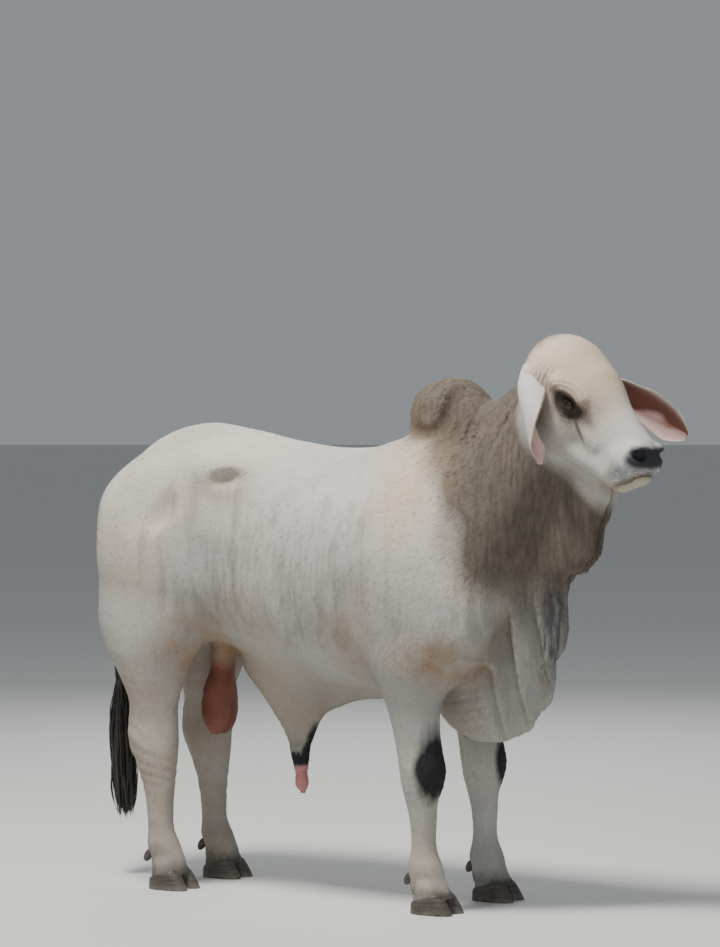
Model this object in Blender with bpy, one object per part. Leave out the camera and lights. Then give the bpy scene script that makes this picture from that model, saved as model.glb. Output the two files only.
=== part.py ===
"""A standing Brahman bull, life size, parted where its body is named.

The whole body is one smooth distance field: lofts for the trunk, neck and legs, ellipsoids
and tapered limbs for the muscles, the head and the loose skin, blended where they meet.
Each node of flesh is the surface of that field, thinned, and cut to its own region, so that
neighbours meet face to face across a narrow gap. Ears, eyes, dewclaws and the locks of the
tail are modelled on their own. +X is forward, +Y is the bull's left, and z = 0 is the ground.
"""

import math
import random

import bpy
import numpy as np

GAP = 0.0003
# the middle of the plan in the frame that the sizes below are given in
MIDDLE = (0.293, 0.018, 0.0)

# trunk and neck: x, underside, topline, height of the widest place, half width, power of the upper half
TRUNK = (
    (-0.740, 1.130, 1.250, 1.190, 0.050, 2.0),
    (-0.700, 1.010, 1.350, 1.190, 0.150, 2.0),
    (-0.570, 0.900, 1.478, 1.180, 0.232, 2.1),
    (-0.380, 0.840, 1.553, 1.180, 0.258, 2.2),
    (-0.200, 0.795, 1.535, 1.150, 0.268, 2.2),
    (-0.020, 0.735, 1.499, 1.090, 0.292, 2.1),
    (0.180, 0.692, 1.475, 1.050, 0.312, 2.0),
    (0.400, 0.680, 1.487, 1.040, 0.300, 1.9),
    (0.570, 0.700, 1.510, 1.040, 0.272, 1.75),
    (0.690, 0.775, 1.570, 1.100, 0.225, 1.75),
    (0.780, 0.880, 1.645, 1.180, 0.190, 1.8),
    (0.860, 1.030, 1.700, 1.290, 0.163, 1.9),
    (0.940, 1.200, 1.715, 1.420, 0.140, 2.0),
    (1.010, 1.330, 1.680, 1.500, 0.105, 2.0),
    (1.060, 1.430, 1.600, 1.520, 0.050, 2.0),
)
TRUNK_LOWER_POWER = 2.2

# legs: height, back, front, distance of the middle from the midline, half width
HIND_LEG = (
    (0.050, -0.478, -0.345, 0.165, 0.050),
    (0.100, -0.480, -0.358, 0.165, 0.047),
    (0.145, -0.492, -0.380, 0.165, 0.053),
    (0.190, -0.492, -0.400, 0.165, 0.043),
    (0.260, -0.498, -0.404, 0.165, 0.041),
    (0.345, -0.514, -0.398, 0.165, 0.046),
    (0.420, -0.542, -0.390, 0.165, 0.056),
    (0.490, -0.572, -0.384, 0.165, 0.061),
    (0.550, -0.574, -0.384, 0.165, 0.056),
    (0.615, -0.566, -0.384, 0.168, 0.062),
    (0.710, -0.602, -0.352, 0.172, 0.080),
    (0.800, -0.655, -0.305, 0.172, 0.098),
    (0.900, -0.695, -0.270, 0.155, 0.106),
    (1.020, -0.680, -0.290, 0.120, 0.085),
    (1.120, -0.600, -0.370, 0.080, 0.040),
)
FORE_LEG = (
    (0.050, 0.545, 0.690, 0.178, 0.050),
    (0.100, 0.538, 0.662, 0.178, 0.048),
    (0.145, 0.534, 0.648, 0.178, 0.054),
    (0.190, 0.542, 0.630, 0.178, 0.043),
    (0.290, 0.538, 0.628, 0.178, 0.041),
    (0.350, 0.524, 0.632, 0.178, 0.047),
    (0.400, 0.510, 0.650, 0.178, 0.057),
    (0.450, 0.502, 0.659, 0.178, 0.063),
    (0.510, 0.492, 0.648, 0.178, 0.060),
    (0.580, 0.478, 0.638, 0.180, 0.063),
    (0.700, 0.450, 0.645, 0.186, 0.080),
    (0.800, 0.430, 0.660, 0.188, 0.088),
    (0.900, 0.440, 0.660, 0.165, 0.075),
    (1.000, 0.490, 0.620, 0.120, 0.040),
)
# one claw of a hoof, measured from the middle of its foot
CLAW = (
    (-0.006, -0.062, 0.091, 0.0365, 0.0345),
    (0.030, -0.060, 0.070, 0.0360, 0.0345),
    (0.060, -0.054, 0.048, 0.0350, 0.0320),
    (0.085, -0.045, 0.026, 0.0330, 0.0270),
    (0.105, -0.030, 0.010, 0.0310, 0.0180),
)
LEG_POWER = 2.2
LEGS = {
    # name: table, side of the body, step forward, middle of the foot
    "hindleg_right": (HIND_LEG, -1, 0.0, -0.405),
    "hindleg_left": (HIND_LEG, 1, -0.010, -0.405),
    "foreleg_right": (FORE_LEG, -1, 0.0, 0.622),
    "foreleg_left": (FORE_LEG, 1, 0.020, 0.622),
}
# the tail's centre line from its root to its bony tip, with its radius
TAIL = (
    ((-0.590, 0, 1.395), 0.058),
    ((-0.672, 0, 1.345), 0.048),
    ((-0.728, 0, 1.255), 0.039),
    ((-0.752, 0, 1.140), 0.032),
    ((-0.752, 0, 0.920), 0.027),
    ((-0.738, 0, 0.740), 0.022),
    ((-0.730, 0, 0.630), 0.018),
)
SWITCH_TOP = 0.660
SWITCH_END = 0.175
SWITCH_LOCKS = 30
SWITCH_CORE = ((0.600, 0.030), (0.480, 0.034), (0.340, 0.026), (0.240, 0.010))
GOLDEN_TURN = 2.399

# the head's own frame: x runs from the poll to the muzzle, y to its left, z out of the forehead
POLL = np.array([0.945, -0.010, 1.775])
HEAD_PITCH = math.radians(45)
HEAD_YAW = math.radians(-12)
EYE = np.array([0.233, 0.100, 0.006])
EYE_RADIUS = 0.021
EYE_OUTWARD = np.array([0.25, 0.93, 0.27]) / math.hypot(0.25, 0.93, 0.27)
# the muzzle's own frame: its middle in the head's frame, and how far it is tipped up
MUZZLE = np.array([0.482, 0, 0.014])
MUZZLE_TIP = math.radians(28)
MOUTH_FRONT = 0.076
MOUTH_CORNER = -0.055
# each ear: where its cup faces, shares of the half width, and the turn and the roll in degrees along its length
EAR_ROWS = 13
EAR_SPANS = 10
EAR_HALF_WIDTH = 0.074
EAR_ROOT = (0.066, 0.130, -0.028)
HANGING_EAR = {
    "facing": (0.55, -0.83, 0.0), "base": 0.80, "taper": 0.24, "more": 0.42, "late": 0.95, "blunt": 4,
    "turn": ((0, 0.2, 0.5, 0.8, 1), (-140, -130, -96, -48, -25)), "roll": ((0, 0.25, 0.7, 1), (140, 95, 62, 40)),
}
HELD_OUT_EAR = {
    "facing": (0.60, -0.75, 0.25), "base": 0.55, "taper": 0.0, "more": 0.62, "late": 1.05, "blunt": 9,
    "turn": ((0, 1), (-25, 5)), "roll": ((0, 0.25, 0.7, 1), (165, 120, 62, 40)),
}
DEWCLAW_RADII = (0.014, 0.013, 0.024)
DEWCLAW_LEAN = math.radians(30)
DEWCLAW_HEIGHT = 0.108
DEWCLAW_APART = 0.026

# borders between the nodes, as outlines in the side view: x, z
NAPE = (0.830, 1.800)
JAW_CORNER = (0.985, 1.475)
THROAT = (0.900, 1.190)
BREAST = (0.800, 1.000)
CREST_FOOT = (0.745, 1.600)
UNDER_JAW = (1.080, 1.430)
CHIN_BELOW = (1.200, 1.360)
HEAD_SIDE = ((0.740, 2.200), NAPE, JAW_CORNER, UNDER_JAW, CHIN_BELOW, (1.350, 1.250), (1.800, 1.200), (1.800, 2.200))
NECK_SIDE = ((0.720, 2.200), CREST_FOOT, BREAST, THROAT, JAW_CORNER, NAPE, (0.740, 2.200))
HUMP_SIDE = ((0.360, 2.200), (0.360, 1.500), (0.430, 1.497), CREST_FOOT, (0.720, 2.200))
THROAT_DEWLAP_SIDE = (JAW_CORNER, THROAT, (0.930, 1.060), (1.400, 1.000), (1.350, 1.250), CHIN_BELOW, UNDER_JAW)
CHEST_DEWLAP_SIDE = (
    THROAT, BREAST, (0.700, 0.840), (0.520, 0.705), (0.500, 0.400), (1.400, 0.400), (1.400, 1.000), (0.930, 1.060)
)
SHEATH_SIDE = ((-0.220, 0.765), (-0.020, 0.725), (0.320, 0.672), (0.320, 0.432), (-0.220, 0.432))
PREPUCE_SIDE = ((-0.220, 0.432), (0.320, 0.432), (0.320, 0.200), (-0.220, 0.200))
SCROTUM_SIDE = ((-0.440, 0.800), (-0.235, 0.775), (-0.215, 0.400), (-0.440, 0.400))
HINDLEG_SIDE = (
    (-0.850, 1.045), (-0.240, 0.830), (-0.222, 0.700), (-0.150, 0.600), (-0.150, -0.100), (-0.850, -0.100)
)
FORELEG_SIDE = (
    (0.425, 0.800), (0.720, 0.860), (0.850, 0.600), (0.850, -0.100), (0.300, -0.100), (0.300, 0.550), (0.430, 0.700)
)
TAIL_SIDE = (
    (-0.640, 1.470), (-0.690, 1.330), (-0.726, 1.200), (-0.726, 0.950), (-0.690, 0.800), (-0.690, SWITCH_TOP),
    (-0.950, SWITCH_TOP), (-0.950, 1.470)
)
# the coronet runs lower at the heel; measured from the middle of the foot
CLAW_SIDE = ((-0.140, -GAP / 2), (-0.140, 0.030), (0.030, 0.082), (0.140, 0.110), (0.140, -GAP / 2))
WIDE = 0.6
DEWLAP_HALF = 0.088
GROIN_HALF = 0.075
TAIL_HALF = 0.043
FOOT_HALF = 0.090
LEG_BOX = (0.04, 0.36)
HINDLEG_TOP = 1.10
FORELEG_TOP = 0.92

# nodes of the trunk: name, look, the box they lie in, cell of the grid, triangles, region
TRUNK_NODES = (
    ("neck", "grey_hide", (0.66, -0.28, 0.92), (1.10, 0.28, 1.90), 0.012, 1100, (NECK_SIDE, -WIDE, WIDE)),
    ("hump", "grey_hide", (0.40, -0.20, 1.44), (0.82, 0.20, 1.76), 0.012, 320, (HUMP_SIDE, -WIDE, WIDE)),
    ("dewlap_throat", "grey_hide", (0.84, -0.20, 0.98), (1.28, 0.20, 1.52), 0.011, 520,
     (THROAT_DEWLAP_SIDE, -WIDE, WIDE)),
    ("dewlap_chest", "white_hide", (0.48, -0.16, 0.48), (1.06, 0.16, 1.24), 0.011, 900,
     (CHEST_DEWLAP_SIDE, -DEWLAP_HALF, DEWLAP_HALF)),
    ("sheath", "white_hide", (-0.26, -0.22, 0.40), (0.36, 0.22, 0.80), 0.011, 340, (SHEATH_SIDE, -WIDE, WIDE)),
    ("prepuce", "pink_skin", (-0.06, -0.06, 0.30), (0.08, 0.06, 0.46), 0.006, 110, (PREPUCE_SIDE, -WIDE, WIDE)),
    ("scrotum", "pink_skin", (-0.46, -0.12, 0.46), (-0.18, 0.12, 0.84), 0.010, 240,
     (SCROTUM_SIDE, -GROIN_HALF, GROIN_HALF)),
    ("tail", "white_hide", (-0.84, -0.08, 0.62), (-0.60, 0.08, 1.50), 0.008, 300, (TAIL_SIDE, -TAIL_HALF, TAIL_HALF)),
)

LOOKS = {
    # colour, roughness
    "white_hide": ((0.72, 0.67, 0.60), 0.85),
    "grey_hide": ((0.42, 0.35, 0.29), 0.85),
    "face_hide": ((0.66, 0.58, 0.48), 0.80),
    "ear_hide": ((0.60, 0.50, 0.45), 0.80),
    "pink_skin": ((0.45, 0.20, 0.17), 0.60),
    "hoof_horn": ((0.09, 0.08, 0.07), 0.45),
    "black_hair": ((0.02, 0.02, 0.02), 0.70),
    "eye_wet": ((0.03, 0.02, 0.015), 0.10),
}


def clear_scene():
    """Remove whatever the scene starts with."""
    for obj in list(bpy.data.objects):
        bpy.data.objects.remove(obj)


def look(name):
    """The named material, made at its first use."""
    material = bpy.data.materials.get(name)
    if material is None:
        material = bpy.data.materials.new(name)
        material.use_nodes = True
        shader = material.node_tree.nodes["Principled BSDF"]
        colour, roughness = LOOKS[name]
        shader.inputs["Base Color"].default_value = (*colour, 1.0)
        shader.inputs["Roughness"].default_value = roughness
    return material


# distance fields: each takes an array of points and gives one number for each, negative inside


def union(a, b, soft):
    """The two forms together, with a fillet about as wide as soft."""
    blend = np.clip(soft - np.abs(a - b), 0, None) / soft
    return np.minimum(a, b) - blend * blend * soft * 0.25


def carve(a, b, soft):
    """The form a without b, with a fillet about as wide as soft."""
    return -union(-a, b, soft)


def ellipsoid(p, centre, radii, pitch=0.0):
    """A ball stretched along the axes, and turned about the y axis by the pitch."""
    q = p - np.array(centre)
    if pitch:
        c, s = math.cos(pitch), math.sin(pitch)
        q = np.stack([c * q[:, 0] - s * q[:, 2], q[:, 1], s * q[:, 0] + c * q[:, 2]], 1)
    r = np.array(radii)
    k0 = np.sqrt(((q / r) ** 2).sum(1))
    k1 = np.sqrt(((q / (r * r)) ** 2).sum(1))
    return k0 * (k0 - 1) / np.maximum(k1, 1e-6)


def limb(p, start, end, start_radius, end_radius, flat=1.0):
    """A tapered rod with round ends; flat below 1 makes it narrower from side to side."""
    start, end = np.array(start, float), np.array(end, float)
    squash = np.array([1, 1 / flat, 1])
    q, along = (p - start) * squash, (end - start) * squash
    t = np.clip(q @ along / (along @ along), 0, 1)
    reach = np.sqrt(((q - t[:, None] * along) ** 2).sum(1))
    return (reach - (start_radius + t * (end_radius - start_radius))) * min(1.0, flat)


def curve_through(at, stations, values):
    """Smooth values read between the stations."""
    slopes = np.gradient(values, stations)
    i = np.clip(np.searchsorted(stations, at) - 1, 0, len(stations) - 2)
    step = stations[i + 1] - stations[i]
    t = (at - stations[i]) / step
    start = (2 * t**3 - 3 * t**2 + 1) * values[i] + (t**3 - 2 * t**2 + t) * step * slopes[i]
    end = (3 * t**2 - 2 * t**3) * values[i + 1] + (t**3 - t**2) * step * slopes[i + 1]
    return start + end


def loft(p, axis, columns, lower_power):
    """A body along x or z whose sections are superellipses in the other two directions."""
    stations, low, high, widest, centre, half, power = columns
    at = np.clip(p[:, axis], stations[0], stations[-1])
    low, high, widest, centre, half, power = (
        curve_through(at, stations, values) for values in (low, high, widest, centre, half, power)
    )
    across = p[:, 2 - axis]
    upper = across > widest
    reach = np.where(upper, high - widest, widest - low)
    n = np.where(upper, power, lower_power)
    u = np.abs(p[:, 1] - centre) / half
    w = np.abs(across - widest) / reach
    k = np.maximum(u**n + w**n, 1e-9) ** (1 / n)
    slope = np.maximum(k, 1e-3) ** (1 - n) * np.hypot(u ** (n - 1) / half, w ** (n - 1) / reach)
    d = (k - 1) / np.maximum(slope, 1.0)
    beyond = np.maximum(stations[0] - p[:, axis], p[:, axis] - stations[-1])
    return np.where(beyond > 0, np.hypot(np.maximum(d, 0), beyond), np.maximum(d, beyond))


def trunk_columns():
    """The trunk's table as columns for the loft."""
    x, low, high, widest, half, power = np.array(TRUNK).T
    return x, low, high, widest, np.zeros(len(x)), half, power


def upright_columns(table, side=1, forward=0.0):
    """A leg's table as columns for the loft, on its side and moved forward."""
    z, back, front, middle, half = np.array(table).T
    back, front = back + forward, front + forward
    return z, back, front, (back + front) / 2, side * middle, half, np.full(len(z), LEG_POWER)


def mirrored(p):
    """The points with all of them on the left side."""
    m = p.copy()
    m[:, 1] = np.abs(m[:, 1])
    return m


def head_axes():
    """The head's own axes, as the columns of a matrix."""
    cp, sp = math.cos(HEAD_PITCH), math.sin(HEAD_PITCH)
    cy, sy = math.cos(HEAD_YAW), math.sin(HEAD_YAW)
    forward = np.array([cp * cy, cp * sy, -sp])
    left = np.array([-sy, cy, 0.0])
    return np.stack([forward, left, np.cross(forward, left)], 1)


def to_head(p):
    """Points of the body in the head's frame."""
    return (p - POLL) @ head_axes()


def from_head(h):
    """Points of the head's frame in the body's."""
    return POLL + np.array(h) @ head_axes().T


def to_muzzle(h):
    """Points of the head's frame in the muzzle's."""
    q = h - MUZZLE
    c, s = math.cos(MUZZLE_TIP), math.sin(MUZZLE_TIP)
    return np.stack([c * q[:, 0] + s * q[:, 2], q[:, 1], c * q[:, 2] - s * q[:, 0]], 1)


def skull(m):
    """The head without its openings, both halves at once, in its own frame."""
    d = ellipsoid(m, (0.095, 0, 0.006), (0.132, 0.143, 0.118))
    d = union(d, ellipsoid(m, (0.175, 0, 0.040), (0.155, 0.122, 0.086)), 0.04)
    # nose bridge, jaws and muzzle
    d = union(d, limb(m, (0.22, 0, 0.046), (0.47, 0, 0.038), 0.074, 0.058), 0.05)
    d = union(d, limb(m, (0.19, 0, -0.045), (0.45, 0, -0.018), 0.094, 0.062), 0.05)
    q = to_muzzle(m)
    d = union(d, ellipsoid(q, (0.000, 0, 0.002), (0.068, 0.084, 0.058)), 0.03)
    d = union(d, ellipsoid(q, (0.018, 0.030, -0.014), (0.052, 0.050, 0.046)), 0.02)
    d = union(d, limb(m, (0.165, 0.068, -0.150), (0.45, 0.026, -0.074), 0.044, 0.034), 0.045)
    d = union(d, ellipsoid(m, (0.185, 0.080, -0.080), (0.105, 0.044, 0.098)), 0.035)
    # chin, brow, cheek ridge and the swelling at the ear's root
    d = union(d, limb(q, (0.040, 0, -0.050), (-0.030, 0, -0.088), 0.024, 0.032), 0.03)
    d = union(d, limb(m, (0.168, 0.124, 0.036), (0.262, 0.106, 0.044), 0.021, 0.017), 0.026)
    d = union(d, limb(m, (0.245, 0.092, -0.022), (0.370, 0.058, -0.030), 0.022, 0.018), 0.03)
    return union(d, limb(m, (0.078, 0.095, -0.024), (0.072, 0.134, -0.036), 0.047, 0.022), 0.040)


def mouth_height(x):
    """Height of the line between the lips, in the muzzle's frame."""
    back = np.clip(MOUTH_FRONT - x, 0, 1)
    return -0.017 - 0.85 * back + 1.75 * back**2


def face(m, d):
    """Lids, nostrils and mouth cut into the field d, in the head's frame."""
    orbit = EYE + EYE_OUTWARD * 0.030 + np.array([0.010, 0, -0.006])
    d = carve(d, ellipsoid(m, orbit, (0.042, 0.024, 0.023)), 0.020)
    d = union(d, ellipsoid(m, EYE - EYE_OUTWARD * 0.002, (0.030, 0.026, 0.026)), 0.014)
    d = carve(d, ellipsoid(m, EYE + EYE_OUTWARD * 0.022, (0.022, 0.020, 0.011)), 0.005)
    d = carve(d, limb(m, (0.264, 0.112, -0.008), (0.340, 0.096, -0.046), 0.009, 0.004), 0.016)
    q = to_muzzle(m)
    d = union(d, ellipsoid(q, (0.036, 0.048, 0.032), (0.034, 0.028, 0.030)), 0.02)
    d = carve(d, ellipsoid(q, (0.060, 0.054, 0.030), (0.022, 0.020, 0.017)), 0.008)
    d = carve(d, limb(q, (0.050, 0.070, 0.026), (0.028, 0.082, 0.030), 0.009, 0.004), 0.008)
    # the mouth is a groove: the surface sinks along the line between the lips
    off_line = (q[:, 2] - mouth_height(q[:, 0])) / 0.0075
    return d + 0.009 * np.exp(-off_line * off_line) * fade(q[:, 0], MOUTH_CORNER, MOUTH_CORNER + 0.03)


def shoulder(m):
    """The shoulder blade, the upper arm and the point of the shoulder."""
    d = limb(m, (0.580, 0.185, 0.930), (0.500, 0.085, 1.370), 0.200, 0.130, 0.50)
    d = union(d, ellipsoid(m, (0.560, 0.180, 0.960), (0.190, 0.088, 0.200)), 0.08)
    return union(d, ellipsoid(m, (0.665, 0.110, 0.930), (0.130, 0.110, 0.190)), 0.09)


def rump(m):
    """Hook bone, pin bone and thigh."""
    d = ellipsoid(m, (-0.180, 0.155, 1.395), (0.120, 0.085, 0.066))
    d = union(d, ellipsoid(m, (-0.660, 0.105, 1.265), (0.065, 0.055, 0.070)), 0.06)
    return union(d, ellipsoid(m, (-0.460, 0.160, 1.080), (0.230, 0.115, 0.300)), 0.08)


def hollows(m, d):
    """The flank below the hook, the hollow before the pin and the crease behind the shoulder."""
    d = carve(d, ellipsoid(m, (-0.150, 0.345, 1.300), (0.120, 0.080, 0.085), pitch=0.25), 0.07)
    d = carve(d, ellipsoid(m, (-0.430, 0.335, 1.330), (0.090, 0.070, 0.130), pitch=0.5), 0.07)
    return carve(d, ellipsoid(m, (0.385, 0.375, 0.920), (0.045, 0.078, 0.200)), 0.05)


def hump(p):
    """The hump above the shoulders, with its slope towards the crest."""
    d = ellipsoid(p, (0.590, 0, 1.530), (0.135, 0.108, 0.168), pitch=0.05)
    d = union(d, ellipsoid(p, (0.525, 0, 1.590), (0.075, 0.088, 0.088)), 0.05)
    return union(d, limb(p, (0.62, 0, 1.580), (0.74, 0, 1.535), 0.090, 0.072, 0.85), 0.06)


def fade(value, start, end):
    """0 at start, 1 at end and a straight slope between."""
    return np.clip((value - start) / (end - start), 0, 1)


def neck_folds(p):
    """Skin that drapes from the crest down and back, as a shallow wave on the field."""
    x, y, z = p.T
    down = 1.600 + 0.45 * (x - 0.70) - z
    wave = np.sin(2 * math.pi * (x + 0.45 * down) / 0.052)
    shown = fade(down, -0.02, 0.08) * fade(down, 0.34, 0.18) * fade(x, 0.56, 0.66) * fade(x, 0.96, 0.88)
    return -0.005 * wave * shown * fade(np.abs(y), 0.02, 0.08)


def girth_folds(p):
    """Upright folds behind the elbow, as a shallow wave on the field."""
    x, _, z = p.T
    wave = np.sin(2 * math.pi * (x + 0.05 * z) / 0.060)
    shown = np.sqrt(fade(np.abs(x - 0.24 + 0.05 * z), 0.13, 0.0))
    return -0.004 * wave * shown * fade(z, 0.76, 0.88) * fade(z, 1.26, 1.01)


def pleated(p):
    """Points moved sideways in waves, so that the brisket hangs in upright pleats."""
    x, _, z = p.T
    wave = np.sin(2 * math.pi * (x + 0.16 * z) / 0.092 + 0.9 * np.sin(6 * z))
    q = p.copy()
    q[:, 1] -= 0.020 * wave * fade(z, 1.18, 0.93) * fade(x, 0.72, 0.82)
    return q


def dewlap(p):
    """The loose skin of the brisket and of the throat."""
    q = pleated(p)
    chest = ellipsoid(q, (0.800, 0, 0.93), (0.205, 0.058, 0.27), pitch=0.10)
    chest = union(chest, ellipsoid(q, (0.725, 0, 0.745), (0.225, 0.080, 0.215), pitch=-0.15), 0.05)
    # the throat hangs in two folds side by side
    t = p.copy()
    t[:, 1] = np.abs(t[:, 1] + 0.010) - 0.024
    throat = ellipsoid(t, (1.000, 0, 1.275), (0.128, 0.036, 0.200), pitch=-0.25)
    throat = union(throat, ellipsoid(t, (1.090, 0, 1.350), (0.088, 0.034, 0.100)), 0.05)
    throat = union(throat, ellipsoid(p, (0.858, 0, 1.165), (0.122, 0.070, 0.230), pitch=-0.30), 0.08)
    return union(chest, throat, 0.05)


def sheath(p):
    """The sheath below the belly, and the tip that shows from it."""
    d = limb(p, (0.00, 0, 0.775), (0.00, 0, 0.46), 0.175, 0.034, 0.36)
    d = union(d, limb(p, (-0.16, 0, 0.76), (-0.05, 0, 0.66), 0.060, 0.050, 0.55), 0.05)
    d = union(d, limb(p, (0.00, 0, 0.47), (0.005, 0, 0.415), 0.030, 0.024), 0.02)
    d = union(d, limb(p, (0.16, 0, 0.715), (0.38, 0, 0.715), 0.080, 0.05, 0.55), 0.06)
    d = union(d, limb(p, (0.003, 0, 0.430), (0.008, 0, 0.360), 0.020, 0.024), 0.008)
    return union(d, limb(p, (0.008, 0, 0.360), (0.012, 0, 0.335), 0.020, 0.012), 0.01)


def scrotum(p):
    """The scrotum between the hind legs."""
    d = limb(p, (-0.30, 0, 0.84), (-0.315, 0, 0.68), 0.052, 0.040)
    return union(d, ellipsoid(mirrored(p), (-0.322, 0.022, 0.600), (0.054, 0.044, 0.096)), 0.05)


def tail(p):
    """The tail's bony part."""
    lengths = zip(TAIL, TAIL[1:])
    return np.minimum.reduce([limb(p, a, b, ra, rb) for (a, ra), (b, rb) in lengths])


def leg(p, name):
    """A leg with both claws of its foot."""
    table, side, forward, foot = LEGS[name]
    d = loft(p, 2, upright_columns(table, side, forward), LEG_POWER)
    q = mirrored(p - np.array([foot + forward, side * table[0][3], 0]))
    return union(d, loft(q, 2, upright_columns(CLAW), LEG_POWER), 0.012)


def bull(p):
    """The whole body as one field."""
    m = mirrored(p)
    d = loft(p, 0, trunk_columns(), TRUNK_LOWER_POWER)
    d = union(d, shoulder(m), 0.08)
    d = union(d, rump(m), 0.09)
    d = hollows(m, d)
    d = union(d, hump(p), 0.045)
    d = carve(d, ellipsoid(m, (0.545, 0.150, 1.585), (0.045, 0.045, 0.050)), 0.04)
    d = union(d, dewlap(p), 0.06)
    d = d + neck_folds(p) + girth_folds(p)
    d = union(d, sheath(p), 0.05)
    d = union(d, scrotum(p), 0.03)
    for name in LEGS:
        d = union(d, leg(p, name), 0.065)
    d = union(d, tail(p), 0.025)
    h = mirrored(to_head(p))
    d = union(d, skull(h), 0.05)
    return np.where(h[:, 0] > 0.10, face(h, d), d)


# a closed surface from a field


def sampled(field, low, high, cell, block=6):
    """The field on a grid, worked out point by point only near the surface."""
    low, high = np.array(low, float), np.array(high, float)
    blocks = np.ceil((high - low) / (cell * block)).astype(int)
    count = blocks * block + 1
    middles = [low[a] + cell * block * (np.arange(blocks[a]) + 0.5) for a in range(3)]
    coarse = field(np.stack(np.meshgrid(*middles, indexing="ij"), -1).reshape(-1, 3)).reshape(blocks)
    near = np.abs(coarse) < cell * block * 1.3
    nodes = [np.arange(n) for n in count]
    wanted = np.zeros(count, bool)
    for back in np.ndindex(2, 2, 2):
        pick = [np.clip((nodes[a] - back[a]) // block, 0, blocks[a] - 1) for a in range(3)]
        wanted |= near[np.ix_(*pick)]
    values = coarse[np.ix_(*[np.clip(nodes[a] // block, 0, blocks[a] - 1) for a in range(3)])]
    ijk = np.argwhere(wanted)
    parts = np.array_split(ijk, max(1, len(ijk) // 300000))
    values[tuple(ijk.T)] = np.concatenate([field(low + cell * part) for part in parts])
    for axis in range(3):
        for end in (0, -1):
            wall = [slice(None)] * 3
            wall[axis] = end
            values[tuple(wall)] = np.maximum(values[tuple(wall)], cell * 0.5)
    return without_pinches(values, cell), low


def without_pinches(values, cell):
    """Grid points filled in where two bits of the body would touch only along a line or at a point."""
    corners = list(np.ndindex(2, 2, 2))

    def shifted(grid, corner):
        """The grid's values at one corner of each cell."""
        return grid[tuple(slice(c, n - 1 + c) for c, n in zip(corner, grid.shape))]

    while True:
        inside = values < 0
        total = sum(shifted(inside, c).astype(np.int8) for c in corners)
        fill = np.zeros(values.shape, bool)
        for axis in range(3):
            one, two = np.roll(np.eye(3, dtype=int), axis, 0)[:2]
            square = [shifted(inside, c) for c in ((0, 0, 0), tuple(one), tuple(two), tuple(one + two))]
            base, right, above, across = square
            shifted(fill, tuple(one))[base & across & ~right & ~above] = True
            shifted(fill, (0, 0, 0))[right & above & ~base & ~across] = True
        for corner in corners[:4]:
            opposite = tuple(1 - c for c in corner)
            a, b = shifted(inside, corner), shifted(inside, opposite)
            shifted(fill, (1 - corner[0], corner[1], corner[2]))[a & b & (total == 2)] = True
            shifted(fill, corner)[~a & ~b & (total == 6)] = True
        if not fill.any():
            return values
        values[fill] = -0.02 * cell


def surface_net(values, low, cell):
    """One vertex in each grid cell that the surface crosses, one quad for each crossed edge."""
    inside = values < 0
    n = np.array(values.shape)
    total = np.zeros(n - 1, np.int8)
    for dx, dy, dz in np.ndindex(2, 2, 2):
        total += inside[dx:n[0] - 1 + dx, dy:n[1] - 1 + dy, dz:n[2] - 1 + dz]
    crossed = (total > 0) & (total < 8)
    ijk = np.argwhere(crossed)
    index = np.full(n - 1, -1)
    index[crossed] = np.arange(len(ijk))
    place = np.zeros((len(ijk), 3))
    cuts = np.zeros(len(ijk))
    for axis in range(3):
        others = [a for a in range(3) if a != axis]
        for corner in np.ndindex(2, 2):
            start = ijk.copy()
            start[:, others] += corner
            end = start.copy()
            end[:, axis] += 1
            a, b = values[tuple(start.T)], values[tuple(end.T)]
            cut = (a < 0) != (b < 0)
            at = (start - ijk).astype(float)
            at[:, axis] = np.where(cut, a / np.where(cut, a - b, 1), 0)
            place += at * cut[:, None]
            cuts += cut
    quads = []
    for axis in range(3):
        one, two = (axis + 1) % 3, (axis + 2) % 3
        start = [slice(1, m - 1) for m in n]
        start[axis] = slice(0, n[axis] - 1)
        end = list(start)
        end[axis] = slice(1, n[axis])
        a, b = inside[tuple(start)], inside[tuple(end)]
        for change, turned in ((a & ~b, False), (~a & b, True)):
            at = np.argwhere(change)
            at[:, [one, two]] += 1
            ring = []
            for u, v in ((-1, -1), (0, -1), (0, 0), (-1, 0)):
                corner = at.copy()
                corner[:, one] += u
                corner[:, two] += v
                ring.append(index[tuple(corner.T)])
            ring = np.stack(ring, 1)
            quads.append(ring[:, ::-1] if turned else ring)
    return (ijk + place / cuts[:, None]) * cell + low, np.concatenate(quads)


def settled(field, points, most, step=0.001):
    """The points moved along the field's slope onto its surface."""
    value = field(points)
    slope = np.zeros_like(points)
    for axis in range(3):
        offset = np.zeros(3)
        offset[axis] = step
        slope[:, axis] = (field(points + offset) - field(points - offset)) / (2 * step)
    move = value[:, None] * slope / np.maximum((slope * slope).sum(1), 1e-3)[:, None]
    length = np.linalg.norm(move, axis=1, keepdims=True)
    return points - move * np.minimum(1, most / np.maximum(length, 1e-9))


# Blender objects


def new_object(name, points, faces, colour=None):
    """A mesh object from points and faces, in the named look."""
    mesh = bpy.data.meshes.new(name)
    mesh.from_pydata([tuple(map(float, p)) for p in points], [], [tuple(map(int, f)) for f in faces])
    mesh.validate()
    obj = bpy.data.objects.new(name, mesh)
    bpy.context.scene.collection.objects.link(obj)
    if colour:
        mesh.materials.append(look(colour))
    return obj


def apply_modifiers(obj):
    """Put the result of the modifiers in place of the mesh."""
    graph = bpy.context.evaluated_depsgraph_get()
    mesh = bpy.data.meshes.new_from_object(obj.evaluated_get(graph))
    obj.modifiers.clear()
    obj.data = mesh


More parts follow.
